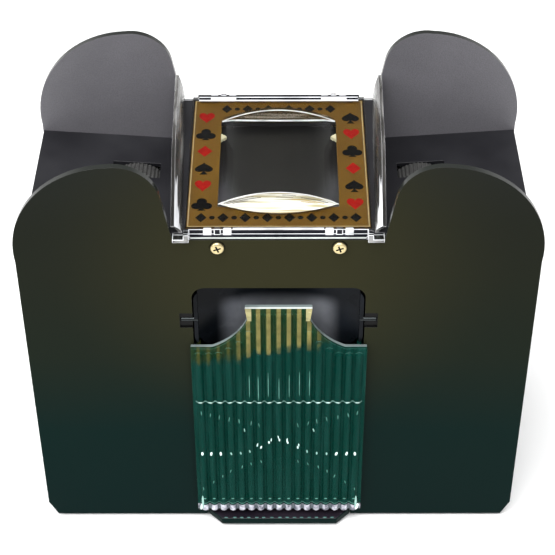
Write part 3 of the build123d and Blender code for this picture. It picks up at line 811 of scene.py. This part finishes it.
def tray_lights():
    """Painted highlights on the tray: a row of glint beads that climbs to the middle, fainter rows,
    and creases.
    """
    bright, middling, dim = [], [], []
    for x in RIB_X:
        reach = abs(x) / RIB_X[-1]
        spot = x + dice.uniform(-0.5, 0.5)
        arch = 43.7 + 8.8 * math.exp(-((x / 9.5) ** 2))
        height, width = (2.6, 1.1) if reach > 0.7 else (2.0, 0.75)
        (bright if reach > 0.7 or reach < 0.32 else middling).append((spot, arch, height, width))
        if reach < 0.3:
            bright.append((x + dice.uniform(-1.2, 1.2), arch + 1.5, 2.2, 0.5))
        if reach > 0.2:
            dim.append((x + dice.uniform(-0.6, 0.6), 21 + 19 * (1 - reach**2), 2.2, 0.4))
            dim.append((x + dice.uniform(-0.6, 0.6), 59 + 10 * reach, 3.0, 0.35))
        bright.append((x, CREASE_Z, 0.8, 1.7))
        if reach < 0.5:
            dim.append((x + dice.uniform(-0.5, 0.5), 85 + dice.uniform(-2, 3), 16, 0.34))
        dim.append((x, 14.5, 0.9, 1.3))
    for side in (-1, 1):
        middling.append((side * 34.6, 12.0, 9.0, 1.0))
        middling.append((side * 15, 58.5, 2.2, 0.5))
        bright.append((side * 35.2, 9.2, 4.4, 1.4))
    beads("tray_painted_glints", bright, PAINTED_GLINT)
    beads("tray_painted_glints_mid", middling, PAINTED_GLINT_MID)
    beads("tray_painted_glints_dim", dim, PAINTED_GLINT_DIM)
    crease("tray_crease", CREASE_Z, 0.15, PAINTED_GLINT_MID)
    crease("tray_foot_crease", TRAY_FOOT_TOP + 1.2, 0.12, PAINTED_GLINT_DIM)


# Base moulding's tongue

GLINT_COUNT = 15
GLINT_REACH = 24


def tongue_glints():
    """A row of small painted glints along the front of the base moulding's tongue, the reflection
    of the tray's rib feet.
    """
    shape = Matrix.Diagonal((0.9 * MM, 0.35 * MM, 0.08 * MM, 1))
    shapes = []
    for index in range(GLINT_COUNT):
        x = -GLINT_REACH + 2 * GLINT_REACH * index / (GLINT_COUNT - 1)
        shapes.append(Matrix.Translation(at(x + dice.uniform(-0.3, 0.3), -5.6, 3.5)) @ shape)
    ovals("tongue_glints", shapes, "housing", "inner_plastic", TONGUE_PAINTED_GLINT)


# Clear cover

COVER_TOP = 165.2
VAULT_HALF = 24.2
VAULT_Y = 18.3
VAULT_BACK_Y = 76.85
VAULT_RISE = (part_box("clear_cover")[1][2] - BASE_Z) / MM - COVER_TOP

# Lines across the strip behind the label, which take turns at painted highlight and painted shade,
# and how far it reaches to each side.
STRIP_PAINT_LINES = (92.1, 93.2, 94.8, 95.5)
STRIP_PAINT_HALF = 34.8

# The steps along the cover's front and back lie outside these depths, between the corner tabs.
EDGE_FRONT = 2.8
EDGE_BACK = 96.3
CORNER_TABS_IN = 35
LIP_LOW = 162.1
LIP_TOP = 163.1

# The small blocks on both steps: the middles of the two on each side, and the pair's ends.
LUG_MIDDLES = (20.2, 28.1)
LUGS_IN = 18.6
LUGS_OUT = 29.7


def apron():
    """The run-out in front of the vault, a thin sheet that carries painted glare: highest along the
    vault's end, and feathered to an arc.
    """
    across, along = 40, 10
    work = bmesh.new()
    rows = []
    for i in range(across + 1):
        x = -VAULT_HALF + 2 * VAULT_HALF * i / across
        bow = 1 - (x / VAULT_HALF) ** 2
        reach = 6.1 * bow + 0.05
        row = []
        for j in range(along + 1):
            share = j / along
            lift = 0.9 * (1 - share) ** 2 * bow + 0.05
            row.append(work.verts.new(at(x, VAULT_Y + 0.3 - reach * share, COVER_TOP + lift)))
        rows.append(row)
    for first, second in zip(rows, rows[1:]):
        for j in range(along):
            work.faces.new((first[j], first[j + 1], second[j + 1], second[j]))
    for vert in extruded(work):
        vert.co.z = at(0, 0, COVER_TOP - 0.1).z
    finished(work, "vault_glare_apron", "housing", "clear_plastic", VAULT_FRONT_GLARE)


def line_tube(name, points, radius, material):
    """A thin raised line on the cover, through points given in the millimetre frame."""
    work = bmesh.new()
    rows = []
    places = [at(*point) for point in points]
    for index, place in enumerate(places):
        ahead = places[min(index + 1, len(places) - 1)] - places[max(index - 1, 0)]
        across = ahead.cross(Vector((0, 1, 0))).normalized()
        other = ahead.cross(across).normalized()
        spokes = [across * math.cos(turn) + other * math.sin(turn) for turn in around(8)]
        rows.append([work.verts.new(place + spoke * radius * MM) for spoke in spokes])
    skin(work, rows)
    finished(work, name, "housing", "clear_plastic", material)


def vault_arc(name, y, share, start, end, radius, material):
    """A line along the vault's section at depth y and a share of its height, from start to end."""
    steps = 36
    arc = []
    for step in range(steps + 1):
        x = start + (end - start) * step / steps
        lift = VAULT_RISE * share * max(1 - (x / (VAULT_HALF * share**0.25)) ** 2, 0.0)
        arc.append((x, y, COVER_TOP + lift - 0.1))
    line_tube(name, arc, radius, material)


# Each flow line's share of the vault's height, its ends in X, its radius and its ink.
FLOW_LINES = [
    (0.84, -22.0, -10.0, 0.09, FLOW_DARK),
    (0.66, -21.0, -7.0, 0.09, FLOW_DARK),
    (0.5, -18.5, -12.5, 0.08, FLOW_DARK),
    (0.8, 1.5, 7.0, 0.07, FLOW_DARK),
    (0.62, -1.0, 6.0, 0.07, FLOW_DARK),
    (0.7, 9.0, 20.0, 0.09, FLOW_DARK),
    (0.48, 5.0, 18.5, 0.11, FLOW_GOLD),
    (0.32, 9.0, 16.0, 0.11, FLOW_GOLD),
]


def vault_lines():
    """Painted highlight lines along the vault's front and back edges and its back foot, and the
    flow lines in its front end.
    """
    vault_arc("vault_arc_front", VAULT_Y, 1.0, -VAULT_HALF, VAULT_HALF, 0.2, CLEAR_EDGE_HIGHLIGHT)
    half = VAULT_HALF * 0.98
    vault_arc("vault_arc_back", VAULT_BACK_Y, 0.93, -half, half, 0.3, CLEAR_EDGE_HIGHLIGHT)
    foot = [(VAULT_HALF * (2 * step / 8 - 1), 76.3, COVER_TOP + 0.1) for step in range(9)]
    line_tube("vault_foot_back", foot, 0.4, CLEAR_EDGE_HIGHLIGHT)
    for index, (share, start, end, radius, material) in enumerate(FLOW_LINES):
        vault_arc("vault_flow_%d" % index, VAULT_Y - 0.1, share, start, end, radius, material)


def on_lug(c, n):
    """True on the small blocks along the cover's front and back edges."""
    near = min(abs(abs(c.x) - x) for x in LUG_MIDDLES) < 1.55
    return near and c.z > LIP_TOP - 0.05 and (c.y < EDGE_FRONT - 0.05 or c.y > EDGE_BACK + 0.05)


def on_back_strip(c, n):
    """True on the strip across the cover's top, behind the label."""
    inside = c.y > STRIP_PAINT_LINES[0] and abs(c.x) < STRIP_PAINT_HALF
    return inside and n.z > 0.1 and 164.5 < c.z < COVER_TOP + 0.1


def in_strip_gap(c):
    """True on the painted shade lines of that strip: its back edge, and a line broken by the lugs.
    """
    between = STRIP_PAINT_LINES[1] < c.y < STRIP_PAINT_LINES[2] and not LUGS_IN < abs(c.x) < LUGS_OUT
    return between or c.y > STRIP_PAINT_LINES[3]


def on_ledge(c, n):
    """True on the flat faces of the step along the cover's front and back, which get painted shade.
    """
    if abs(c.x) > CORNER_TABS_IN or c.z > COVER_TOP - 0.1 or EDGE_FRONT < c.y < EDGE_BACK:
        return False
    return abs(n.y) > 0.96 or (n.z > 0.96 and c.z < LIP_TOP + 0.1)


def on_end_edge(c, n):
    """True on the rounded edges along the cover's front and back, and round its corner tabs."""
    rounding = max(abs(n.x), abs(n.y), abs(n.z)) < 0.96
    outer = c.y < EDGE_FRONT or c.y > EDGE_BACK
    facing = abs(n.y) > 0.15 or abs(c.x) > CORNER_TABS_IN
    return rounding and c.z < 165.8 and outer and facing


def on_lip(c):
    """True at the foot of the front step, between the corner tabs."""
    return c.z < LIP_TOP and c.y < 1.0 and abs(c.x) < CORNER_TABS_IN


def on_vault_front(c, n):
    return abs(c.x) < VAULT_HALF + 0.4 and abs(c.y - VAULT_Y) < 0.7 and n.y < -0.3


def on_vault_back(c, n):
    inside = abs(c.x) < VAULT_HALF + 0.4 and 76 < c.y < 79.6
    return inside and abs(n.y) > 0.3 and c.z > COVER_TOP


def cover():
    """The clear cover with its vault and its guides, with painted highlights on its edges and seams
    and painted shade in its gaps.
    """
    piece = rounded("clear_cover", 0.42)
    ends = [side * x for side in SIDES.values() for x in (LUGS_IN, LUGS_OUT, STRIP_PAINT_HALF)]
    cut(piece, y=STRIP_PAINT_LINES, z=(LIP_LOW,), x=ends)
    # Painted highlights and painted shade: white on the strip behind the label, on the rounded
    # edges, on the lip's front and on the lugs; dark on the ledges, at the lip's foot and in the
    # strip's lines; upright streaks on the corner tabs' fronts.
    paint(piece, CLEAR_EDGE_HIGHLIGHT, lambda c, n: on_back_strip(c, n) and not in_strip_gap(c))
    paint(piece, CLEAR_GAP_SHADE, on_ledge)
    paint(piece, GUIDE_PAINTED_STREAKS, lambda c, n: abs(c.x) > CORNER_TABS_IN and c.y < 0 and n.y < -0.9)
    paint(piece, CLEAR_EDGE_HIGHLIGHT, on_end_edge)
    paint(piece, CLEAR_GAP_SHADE, lambda c, n: on_end_edge(c, n) and on_lip(c))
    paint(piece, TRAY_RIM_HIGHLIGHT, lambda c, n: n.y < -0.96 and c.z > LIP_LOW and on_lip(c))
    paint(piece, CLEAR_GAP_SHADE, lambda c, n: on_back_strip(c, n) and in_strip_gap(c))
    paint(piece, CLEAR_EDGE_HIGHLIGHT, on_lug)
    # Painted glare on the vault's front end.
    paint(piece, VAULT_FRONT_GLARE, on_vault_front)
    # Painted highlights on the vault's back end.
    paint(piece, VAULT_BACK_HIGHLIGHTS, on_vault_back)
    vault_lines()
    # A painted highlight line along the cover's front.
    crown = [(x, 2.6, COVER_TOP) for x in (-18.0, -9.0, 0.0, 9.0, 18.0)]
    line_tube("cover_front_light", crown, 0.28, CLEAR_EDGE_HIGHLIGHT)
    apron()
    for side in SIDES:
        guide = rounded(side + "_card_guide", 0.3, material=GUIDE_PAINTED_STREAKS)
        # Painted highlights on the guides' top edges and front faces.
        paint(guide, CLEAR_EDGE_HIGHLIGHT, lambda c, n: 0.68 < n.z < 0.95 and abs(n.x) > 0.2 and c.z > 163.5)
        paint(guide, CLEAR_EDGE_HIGHLIGHT, lambda c, n: 0.35 < -n.y < 0.96)


# Printed label

PRINT_THICK = 0.04
# Shapes that overlap lie this much above one another.
PRINT_LIFT = 0.0008


def moved(outline, x, y):
    return [(px + x, py + y) for px, py in outline]


def heart_outline(width, height):
    """The heart curve, which is 32 wide and 29 high, scaled to a width and a height."""
    outline = []
    for t in around(40):
        x = 16 * math.sin(t) ** 3
        y = 13 * math.cos(t) - 5 * math.cos(2 * t) - 2 * math.cos(3 * t) - math.cos(4 * t)
        outline.append((x * width / 32, (y + 2.5) * height / 29))
    return outline


def diamond_outline(width, height):
    return [(width / 2, 0), (0, height / 2), (-width / 2, 0), (0, -height / 2)]


def stem_outline(width, base):
    """The stem of a club or a spade, which widens towards its base."""
    right = [(0.35, 0.6), (0.45, base * 0.55), (width / 2, base)]
    return right + [(-x, y) for x, y in reversed(right)]


def disc_outline(x, y, radius):
    return [(x + radius * math.cos(turn), y + radius * math.sin(turn)) for turn in around(20)]


def bar_outline(left, front, right, back):
    return [(left, front), (right, front), (right, back), (left, back)]


def frame_outlines(half, front, back, width):
    """The four bars of a frame with the given outer edges."""
    return [
        bar_outline(-half, front, half, front + width),
        bar_outline(-half, back - width, half, back),
        bar_outline(-half, front + width, -half + width, back - width),
        bar_outline(half - width, front + width, half, back - width),
    ]


def pip_outlines(suit):
    """Outlines in millimetres, one or more to a pip, in the label's plane."""
    if suit == "heart":
        return [heart_outline(6.8, 7.8)]
    if suit == "diamond":
        return [diamond_outline(6.4, 8.0)]
    stem = stem_outline(3.4, -4.2)
    if suit == "spade":
        body = [(x, -y * 0.92 + 0.9) for x, y in heart_outline(7.6, 7.2)]
        return [body[::-1], stem]
    lobes = [disc_outline(x, y, 2.1) for x, y in ((0, 1.9), (-2.15, -1.1), (2.15, -1.1))]
    return lobes + [disc_outline(0, 0, 1.2), stem]


def print_piece(name, outlines, material):
    """Thin printed shapes, each from an outline in millimetres, lying on the label."""
    top = (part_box("label_plate")[1][2] - BASE_Z) / MM
    work = bmesh.new()
    for order, outline in enumerate(outlines):
        level = top + PRINT_THICK + PRINT_LIFT * (order % 5)
        face = work.faces.new([work.verts.new(at(x, y, level)) for x, y in outline])
        if face.normal.z < 0:
            face.normal_flip()
    work.faces.ensure_lookup_table()
    bmesh.ops.translate(work, verts=extruded(work), vec=(0, 0, -PRINT_THICK * MM))
    bmesh.ops.recalc_face_normals(work, faces=work.faces)
    new_piece(name, mesh_from(work, name), "housing", "gold_label", material)


# The columns of pips, from the back to the front.
SUITS = {
    -1: ["heart", "club", "diamond", "spade", "heart", "club"],
    1: ["spade", "heart", "club", "diamond", "spade", "heart"],
}
PIP_X = 31.0
PIP_BACK_Y = 81.0
PIP_STEP = 12.2
# Rows of diamonds and dots across both ends: depth, reach to each side, count.
END_ROWS = [(11.3, 31.0, 15), (87.9, 22.5, 11)]


def label_print():
    """The label's pips, its end rows of diamonds and dots, and its dark and pale borders."""
    red, black = [], []
    for side, suits in SUITS.items():
        for row, suit in enumerate(suits):
            y = PIP_BACK_Y - row * PIP_STEP
            pip = [moved(outline, side * PIP_X, y) for outline in pip_outlines(suit)]
            (red if suit in ("heart", "diamond") else black).extend(pip)
    for y, reach, count in END_ROWS:
        for index in range(count):
            x = -reach + 2 * reach * index / (count - 1)
            if index % 2:
                black.append(disc_outline(x, y, 1.15))
            else:
                black.append(moved(diamond_outline(4.6, 6.0), x, y))
    low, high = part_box("label_plate")
    half, front, back = high[0] / MM, (low[1] - FRONT_Y) / MM, (high[1] - FRONT_Y) / MM
    black.extend(frame_outlines(half, front, back, 0.35))
    inset = 0.7
    pale = frame_outlines(half - inset, front + inset, back - inset, 0.4)
    print_piece("label_pips_red", red, PIP_RED)
    print_piece("label_pips_black", black, PIP_BLACK)
    print_piece("label_border", pale, BORDER_INK)


# Turned parts and the spring


def lathe(work, rings, middle, axis, steps, cut_at=None):
    """Adds a closed turned shape to work.

    rings are (distance along the axis, radius) pairs in millimetres, in order round the section.
    axis is "x" or "y". cut_at(step, radius) says how far the surface is cut in there.
    """
    rows = []
    for along, radius in rings:
        row = []
        for step, turn in enumerate(around(steps)):
            r = radius - cut_at(step, radius) if cut_at else radius
            if axis == "y":
                spot = Vector((r * math.cos(turn), along, r * math.sin(turn)))
            else:
                spot = Vector((along, r * math.cos(turn), r * math.sin(turn)))
            row.append(work.verts.new(middle + spot * MM))
        rows.append(row)
    skin(work, rows, closed=True)


TYRE_WIDTH = 8.5
TREAD_DEPTH = 0.45
TREAD_RIBS = 48
STEPS_PER_RIB = 4


def on_axis(low, high, y):
    """The point at depth y on the axis, along Y, of the round part that fills a box."""
    return Vector(((low[0] + high[0]) / 2, y, (low[2] + high[2]) / 2))


def tyres(side):
    """Soft rubber tyres with 48 ribs across the tread and rounded shoulders."""
    node = side + "_feed_tyres"
    low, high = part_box(node)
    hub_low, hub_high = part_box(side + "_feed_hubs")
    radius = (high[2] - low[2]) / 2 / MM
    inner = (hub_high[2] - hub_low[2]) / 2 / MM
    half = TYRE_WIDTH / 2
    shoulder = [(inner, 0.0), (radius - 0.9, 0.0), (radius - 0.35, 0.25), (radius, 0.8)]
    rings = [(inset - half, r) for r, inset in shoulder]
    rings += [(half - inset, r) for r, inset in reversed(shoulder)]

    def tread(step, r):
        in_groove = step % STEPS_PER_RIB < STEPS_PER_RIB / 2
        return TREAD_DEPTH if r > radius - 0.5 and in_groove else 0.0

    work = bmesh.new()
    for y in (low[1] + half * MM, high[1] - half * MM):
        lathe(work, rings, on_axis(low, high, y), "y", TREAD_RIBS * STEPS_PER_RIB, tread)
    finished(work, side + "_tyres_ribbed", BODY_OF[node], SLOT_OF[node], None, (node,), 30.0)


WIRE_RADIUS = 0.33
COIL_TURNS = 5
# The share of the spring's wire, at each end, that lies flat.
COIL_FLAT = 0.12


def coil(start, length, radius):
    """A helical spring of round wire along Y, with closed ends, as a mesh in work."""
    steps = COIL_TURNS * 28
    work = bmesh.new()
    rows = []
    for step in range(steps + 1):
        turn = 2 * math.pi * COIL_TURNS * step / steps
        climb = min(max((step / steps - COIL_FLAT) / (1 - 2 * COIL_FLAT), 0.0), 1.0)
        rise = WIRE_RADIUS + (length - 2 * WIRE_RADIUS) * climb
        out = Vector((math.cos(turn), 0, math.sin(turn)))
        middle = out * radius + Vector((0, rise, 0))
        row = []
        for bend in around(8):
            spoke = out * math.cos(bend) + Vector((0, math.sin(bend), 0))
            row.append(work.verts.new(start + (middle + spoke * WIRE_RADIUS) * MM))
        rows.append(row)
    skin(work, rows)
    return work


def button_coil():
    """The button's return spring, a coil at rest with a mesh of its own."""
    node = "button_spring"
    low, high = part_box(node)
    start = on_axis(low, high, low[1])
    length = high[1] - low[1]
    work = coil(start, length / MM, (high[0] - low[0]) / 2 / MM - WIRE_RADIUS)
    piece = finished(work, "button_coil", "housing", SLOT_OF[node], None, (node,), 60.0)
    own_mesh(piece)


CELL_RADIUS = 13.1


def cells():
    """Dry cells: a crimped steel foot, a printed sleeve and a steel shoulder round a contact."""
    low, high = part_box("battery_cells")
    length = (high[0] - low[0]) / MM
    section = [
        (0.45, 0.01),
        (0.45, 8.2),
        (0.0, 8.8),
        (0.0, CELL_RADIUS - 1.3),
        (0.35, CELL_RADIUS - 0.5),
        (0.9, CELL_RADIUS - 0.35),
        (1.1, CELL_RADIUS),
        (length - 4.2, CELL_RADIUS),
        (length - 4.0, CELL_RADIUS - 0.3),
        (length - 2.6, CELL_RADIUS - 0.45),
        (length - 2.0, CELL_RADIUS - 1.3),
        (length - 2.2, 7.5),
        (length - 1.7, 4.2),
        (length - 1.6, 3.1),
        (length - 0.25, 3.0),
        (length, 2.6),
        (length, 0.01),
    ]
    work = bmesh.new()
    for y in (low[1] + CELL_RADIUS * MM, high[1] - CELL_RADIUS * MM):
        for z in (low[2] + CELL_RADIUS * MM, high[2] - CELL_RADIUS * MM):
            lathe(work, section, Vector((low[0], y, z)), "x", 72)
    piece = finished(work, "cells_turned", "housing", "cell_jacket", None, ("battery_cells",), 35.0)
    start = (low[0] - at(0, 0, 0).x) / MM
    steel = MATERIALS["contact_steel"]
    paint(piece, steel, lambda c, n: c.x < start + 1.0 or c.x > start + length - 4.1)


# Edges and screws

# Nodes by the radius of their rounded edges. Those in PAIR_EDGES have a left and a right one.
PAIR_EDGES = {
    0.5: ("motor_can", "motor_cap", "motor_cradle", "well_wall"),
    0.25: ("feed_hubs", "motor_strap", "motor_armature", "gear_pin", "feed_shaft"),
    0.1: ("feed_gear", "compound_gear", "motor_pinion"),
}
OTHER_EDGES = {
    0.6: ("switch_body", "card_deflector", "battery_box", "rubber_feet"),
    0.3: ("circuit_board", "board_parts", "push_button", "battery_contacts"),
    0.1: ("front_cover_screws", "back_cover_screws", "housing_screws", "flap_pins", "pile_tips"),
}
SCREW_HEAD_R = 2.8
SCREW_HEAD_H = 1.6


def finish_edges():
    """Rounds the edges of these pieces, each by as much as such a moulding or pressing has."""
    for width, parts in PAIR_EDGES.items():
        for part in parts:
            for side in SIDES:
                rounded(side + "_" + part, width)
    for width, nodes in OTHER_EDGES.items():
        for node in nodes:
            rounded(node, width, material=OWN_MATERIAL.get(node))


def screw_details(node, outward):
    """Painted shade: dark cross recesses, and a dark ring where each head meets its panel.

    outward is -1 for screws in the front panel and 1 for screws in the back panel.
    """
    origin = at(0, 0, 0)
    low, high = [(Vector(corner) - origin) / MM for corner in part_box(node)]
    head = SCREW_HEAD_R
    face_y = (low.y if outward < 0 else high.y) - outward * SCREW_HEAD_H
    levels = (low.z + head, high.z - head)
    centres = [(side * (high.x - head), z) for side in SIDES.values() for z in levels]

    def in_recess(c, n):
        near = any(math.hypot(c.x - x, c.z - z) < 1.75 for x, z in centres)
        return near and 0.85 < (c.y - face_y) * outward < 1.48

    paint(bpy.data.objects[node + "_rounded"], RECESS_PAINTED_SHADE, in_recess)
    # The ring is a painted shadow round each head.
    lip = outward * 0.1
    ring = [(0.0, head - 0.3), (0.0, head + 0.28), (lip, head + 0.22), (lip, head - 0.3)]
    work = bmesh.new()
    for x, z in centres:
        lathe(work, ring, at(x, face_y, z), "y", 40)
    finished(work, node + "_seat_shade", "housing", SLOT_OF[node], RECESS_PAINTED_SHADE)


finish_edges()
screw_details("front_cover_screws", -1)
screw_details("back_cover_screws", 1)
screw_details("housing_screws", 1)
for side in SIDES:
    tyres(side)
button_coil()
cells()
panels()
base = rounded("base_plate", 0.45, 3, TONGUE)
paint(base, MATERIALS["body_plastic"], lambda c, n: n.z < 0.8)
rounded("card_flap", 0.45, 3, FLAP_GREY_PAINTED_LIGHT)
for node in ("top_frame", "battery_door"):
    rounded(node, 0.45, 3)
for side in SIDES:
    for part in ("side_wall", "bay_floor", "gate_pad"):
        rounded(side + "_" + part, 0.3)
tray()
tray_lights()
tongue_glints()
cover()
label_print()


# Studio, light and camera

# The sky's strength, and its strength high up behind the part.
SKY_FULL = 0.95
SKY_DIM = 0.3


def studio():
    """A white floor under an even sky, which is darker high up behind the part."""
    bpy.ops.mesh.primitive_plane_add(size=40, location=(0, 0, FLOOR_Z - 0.0001))
    floor = bpy.context.object
    floor.name = "studio_floor"
    floor.data.materials.append(Shade("studio_white", (0.95, 0.95, 0.95), 0.9).material)
    world = bpy.data.worlds.new("studio_world")
    world.use_nodes = True
    tree = world.node_tree
    place = tree.nodes.new("ShaderNodeTexCoord")
    parts = tree.nodes.new("ShaderNodeSeparateXYZ")
    tree.links.new(place.outputs["Generated"], parts.inputs["Vector"])
    blend = tree.nodes.new("ShaderNodeMix")
    tree.links.new(ranged(tree, parts.outputs["Z"], 0.25, 0.5), blend.inputs[0])
    blend.inputs[2].default_value = SKY_FULL
    fade = ranged(tree, parts.outputs["Y"], 0.15, 0.6, SKY_FULL, SKY_DIM)
    tree.links.new(fade, blend.inputs[3])
    background = tree.nodes["Background"]
    tree.links.new(blend.outputs[0], background.inputs["Strength"])
    preset(background, Color=(1.0, 1.0, 1.0, 1))
    bpy.context.scene.world = world


def area_light(name, place, target, size, power):
    data = bpy.data.lights.new(name, "AREA")
    data.shape = "RECTANGLE"
    data.size, data.size_y = size
    data.energy = power
    lamp = bpy.data.objects.new(name, data)
    lamp.location = place
    lamp.rotation_euler = (target - place).to_track_quat("-Z", "Y").to_euler()
    bpy.context.collection.objects.link(lamp)


def lights():
    """A large soft light above and a fainter one to the left."""
    centre = Vector((0, 0, 0.1))
    area_light("soft_top", Vector((-0.2, -0.55, 1.5)), centre, (1.3, 1.0), 33)
    area_light("soft_left", Vector((-1.3, -0.7, 0.9)), centre, (0.9, 0.9), 8)


# Where the camera is, in the millimetre frame, and its turns in degrees.
EYE = (1.612, -492.04, 557.97)
PITCH = 40.21
YAW = 0.237
ROLL = 0.221
LENS = 103.74


def camera():
    """A long lens, half a metre in front of the part and above it, that looks 40 degrees down."""
    data = bpy.data.cameras.new("camera")
    data.sensor_width = 36.0
    data.lens = LENS
    data.clip_start = 0.01
    eye = bpy.data.objects.new("camera", data)
    turn = Matrix.Rotation(math.radians(YAW), 4, "Z")
    turn = turn @ Matrix.Rotation(math.radians(90 - PITCH), 4, "X")
    turn = turn @ Matrix.Rotation(math.radians(-ROLL), 4, "Z")
    eye.matrix_world = Matrix.Translation(at(*EYE)) @ turn
    bpy.context.collection.objects.link(eye)
    bpy.context.scene.camera = eye


studio()
lights()
camera()
bpy.context.scene.view_settings.view_transform = "Standard"
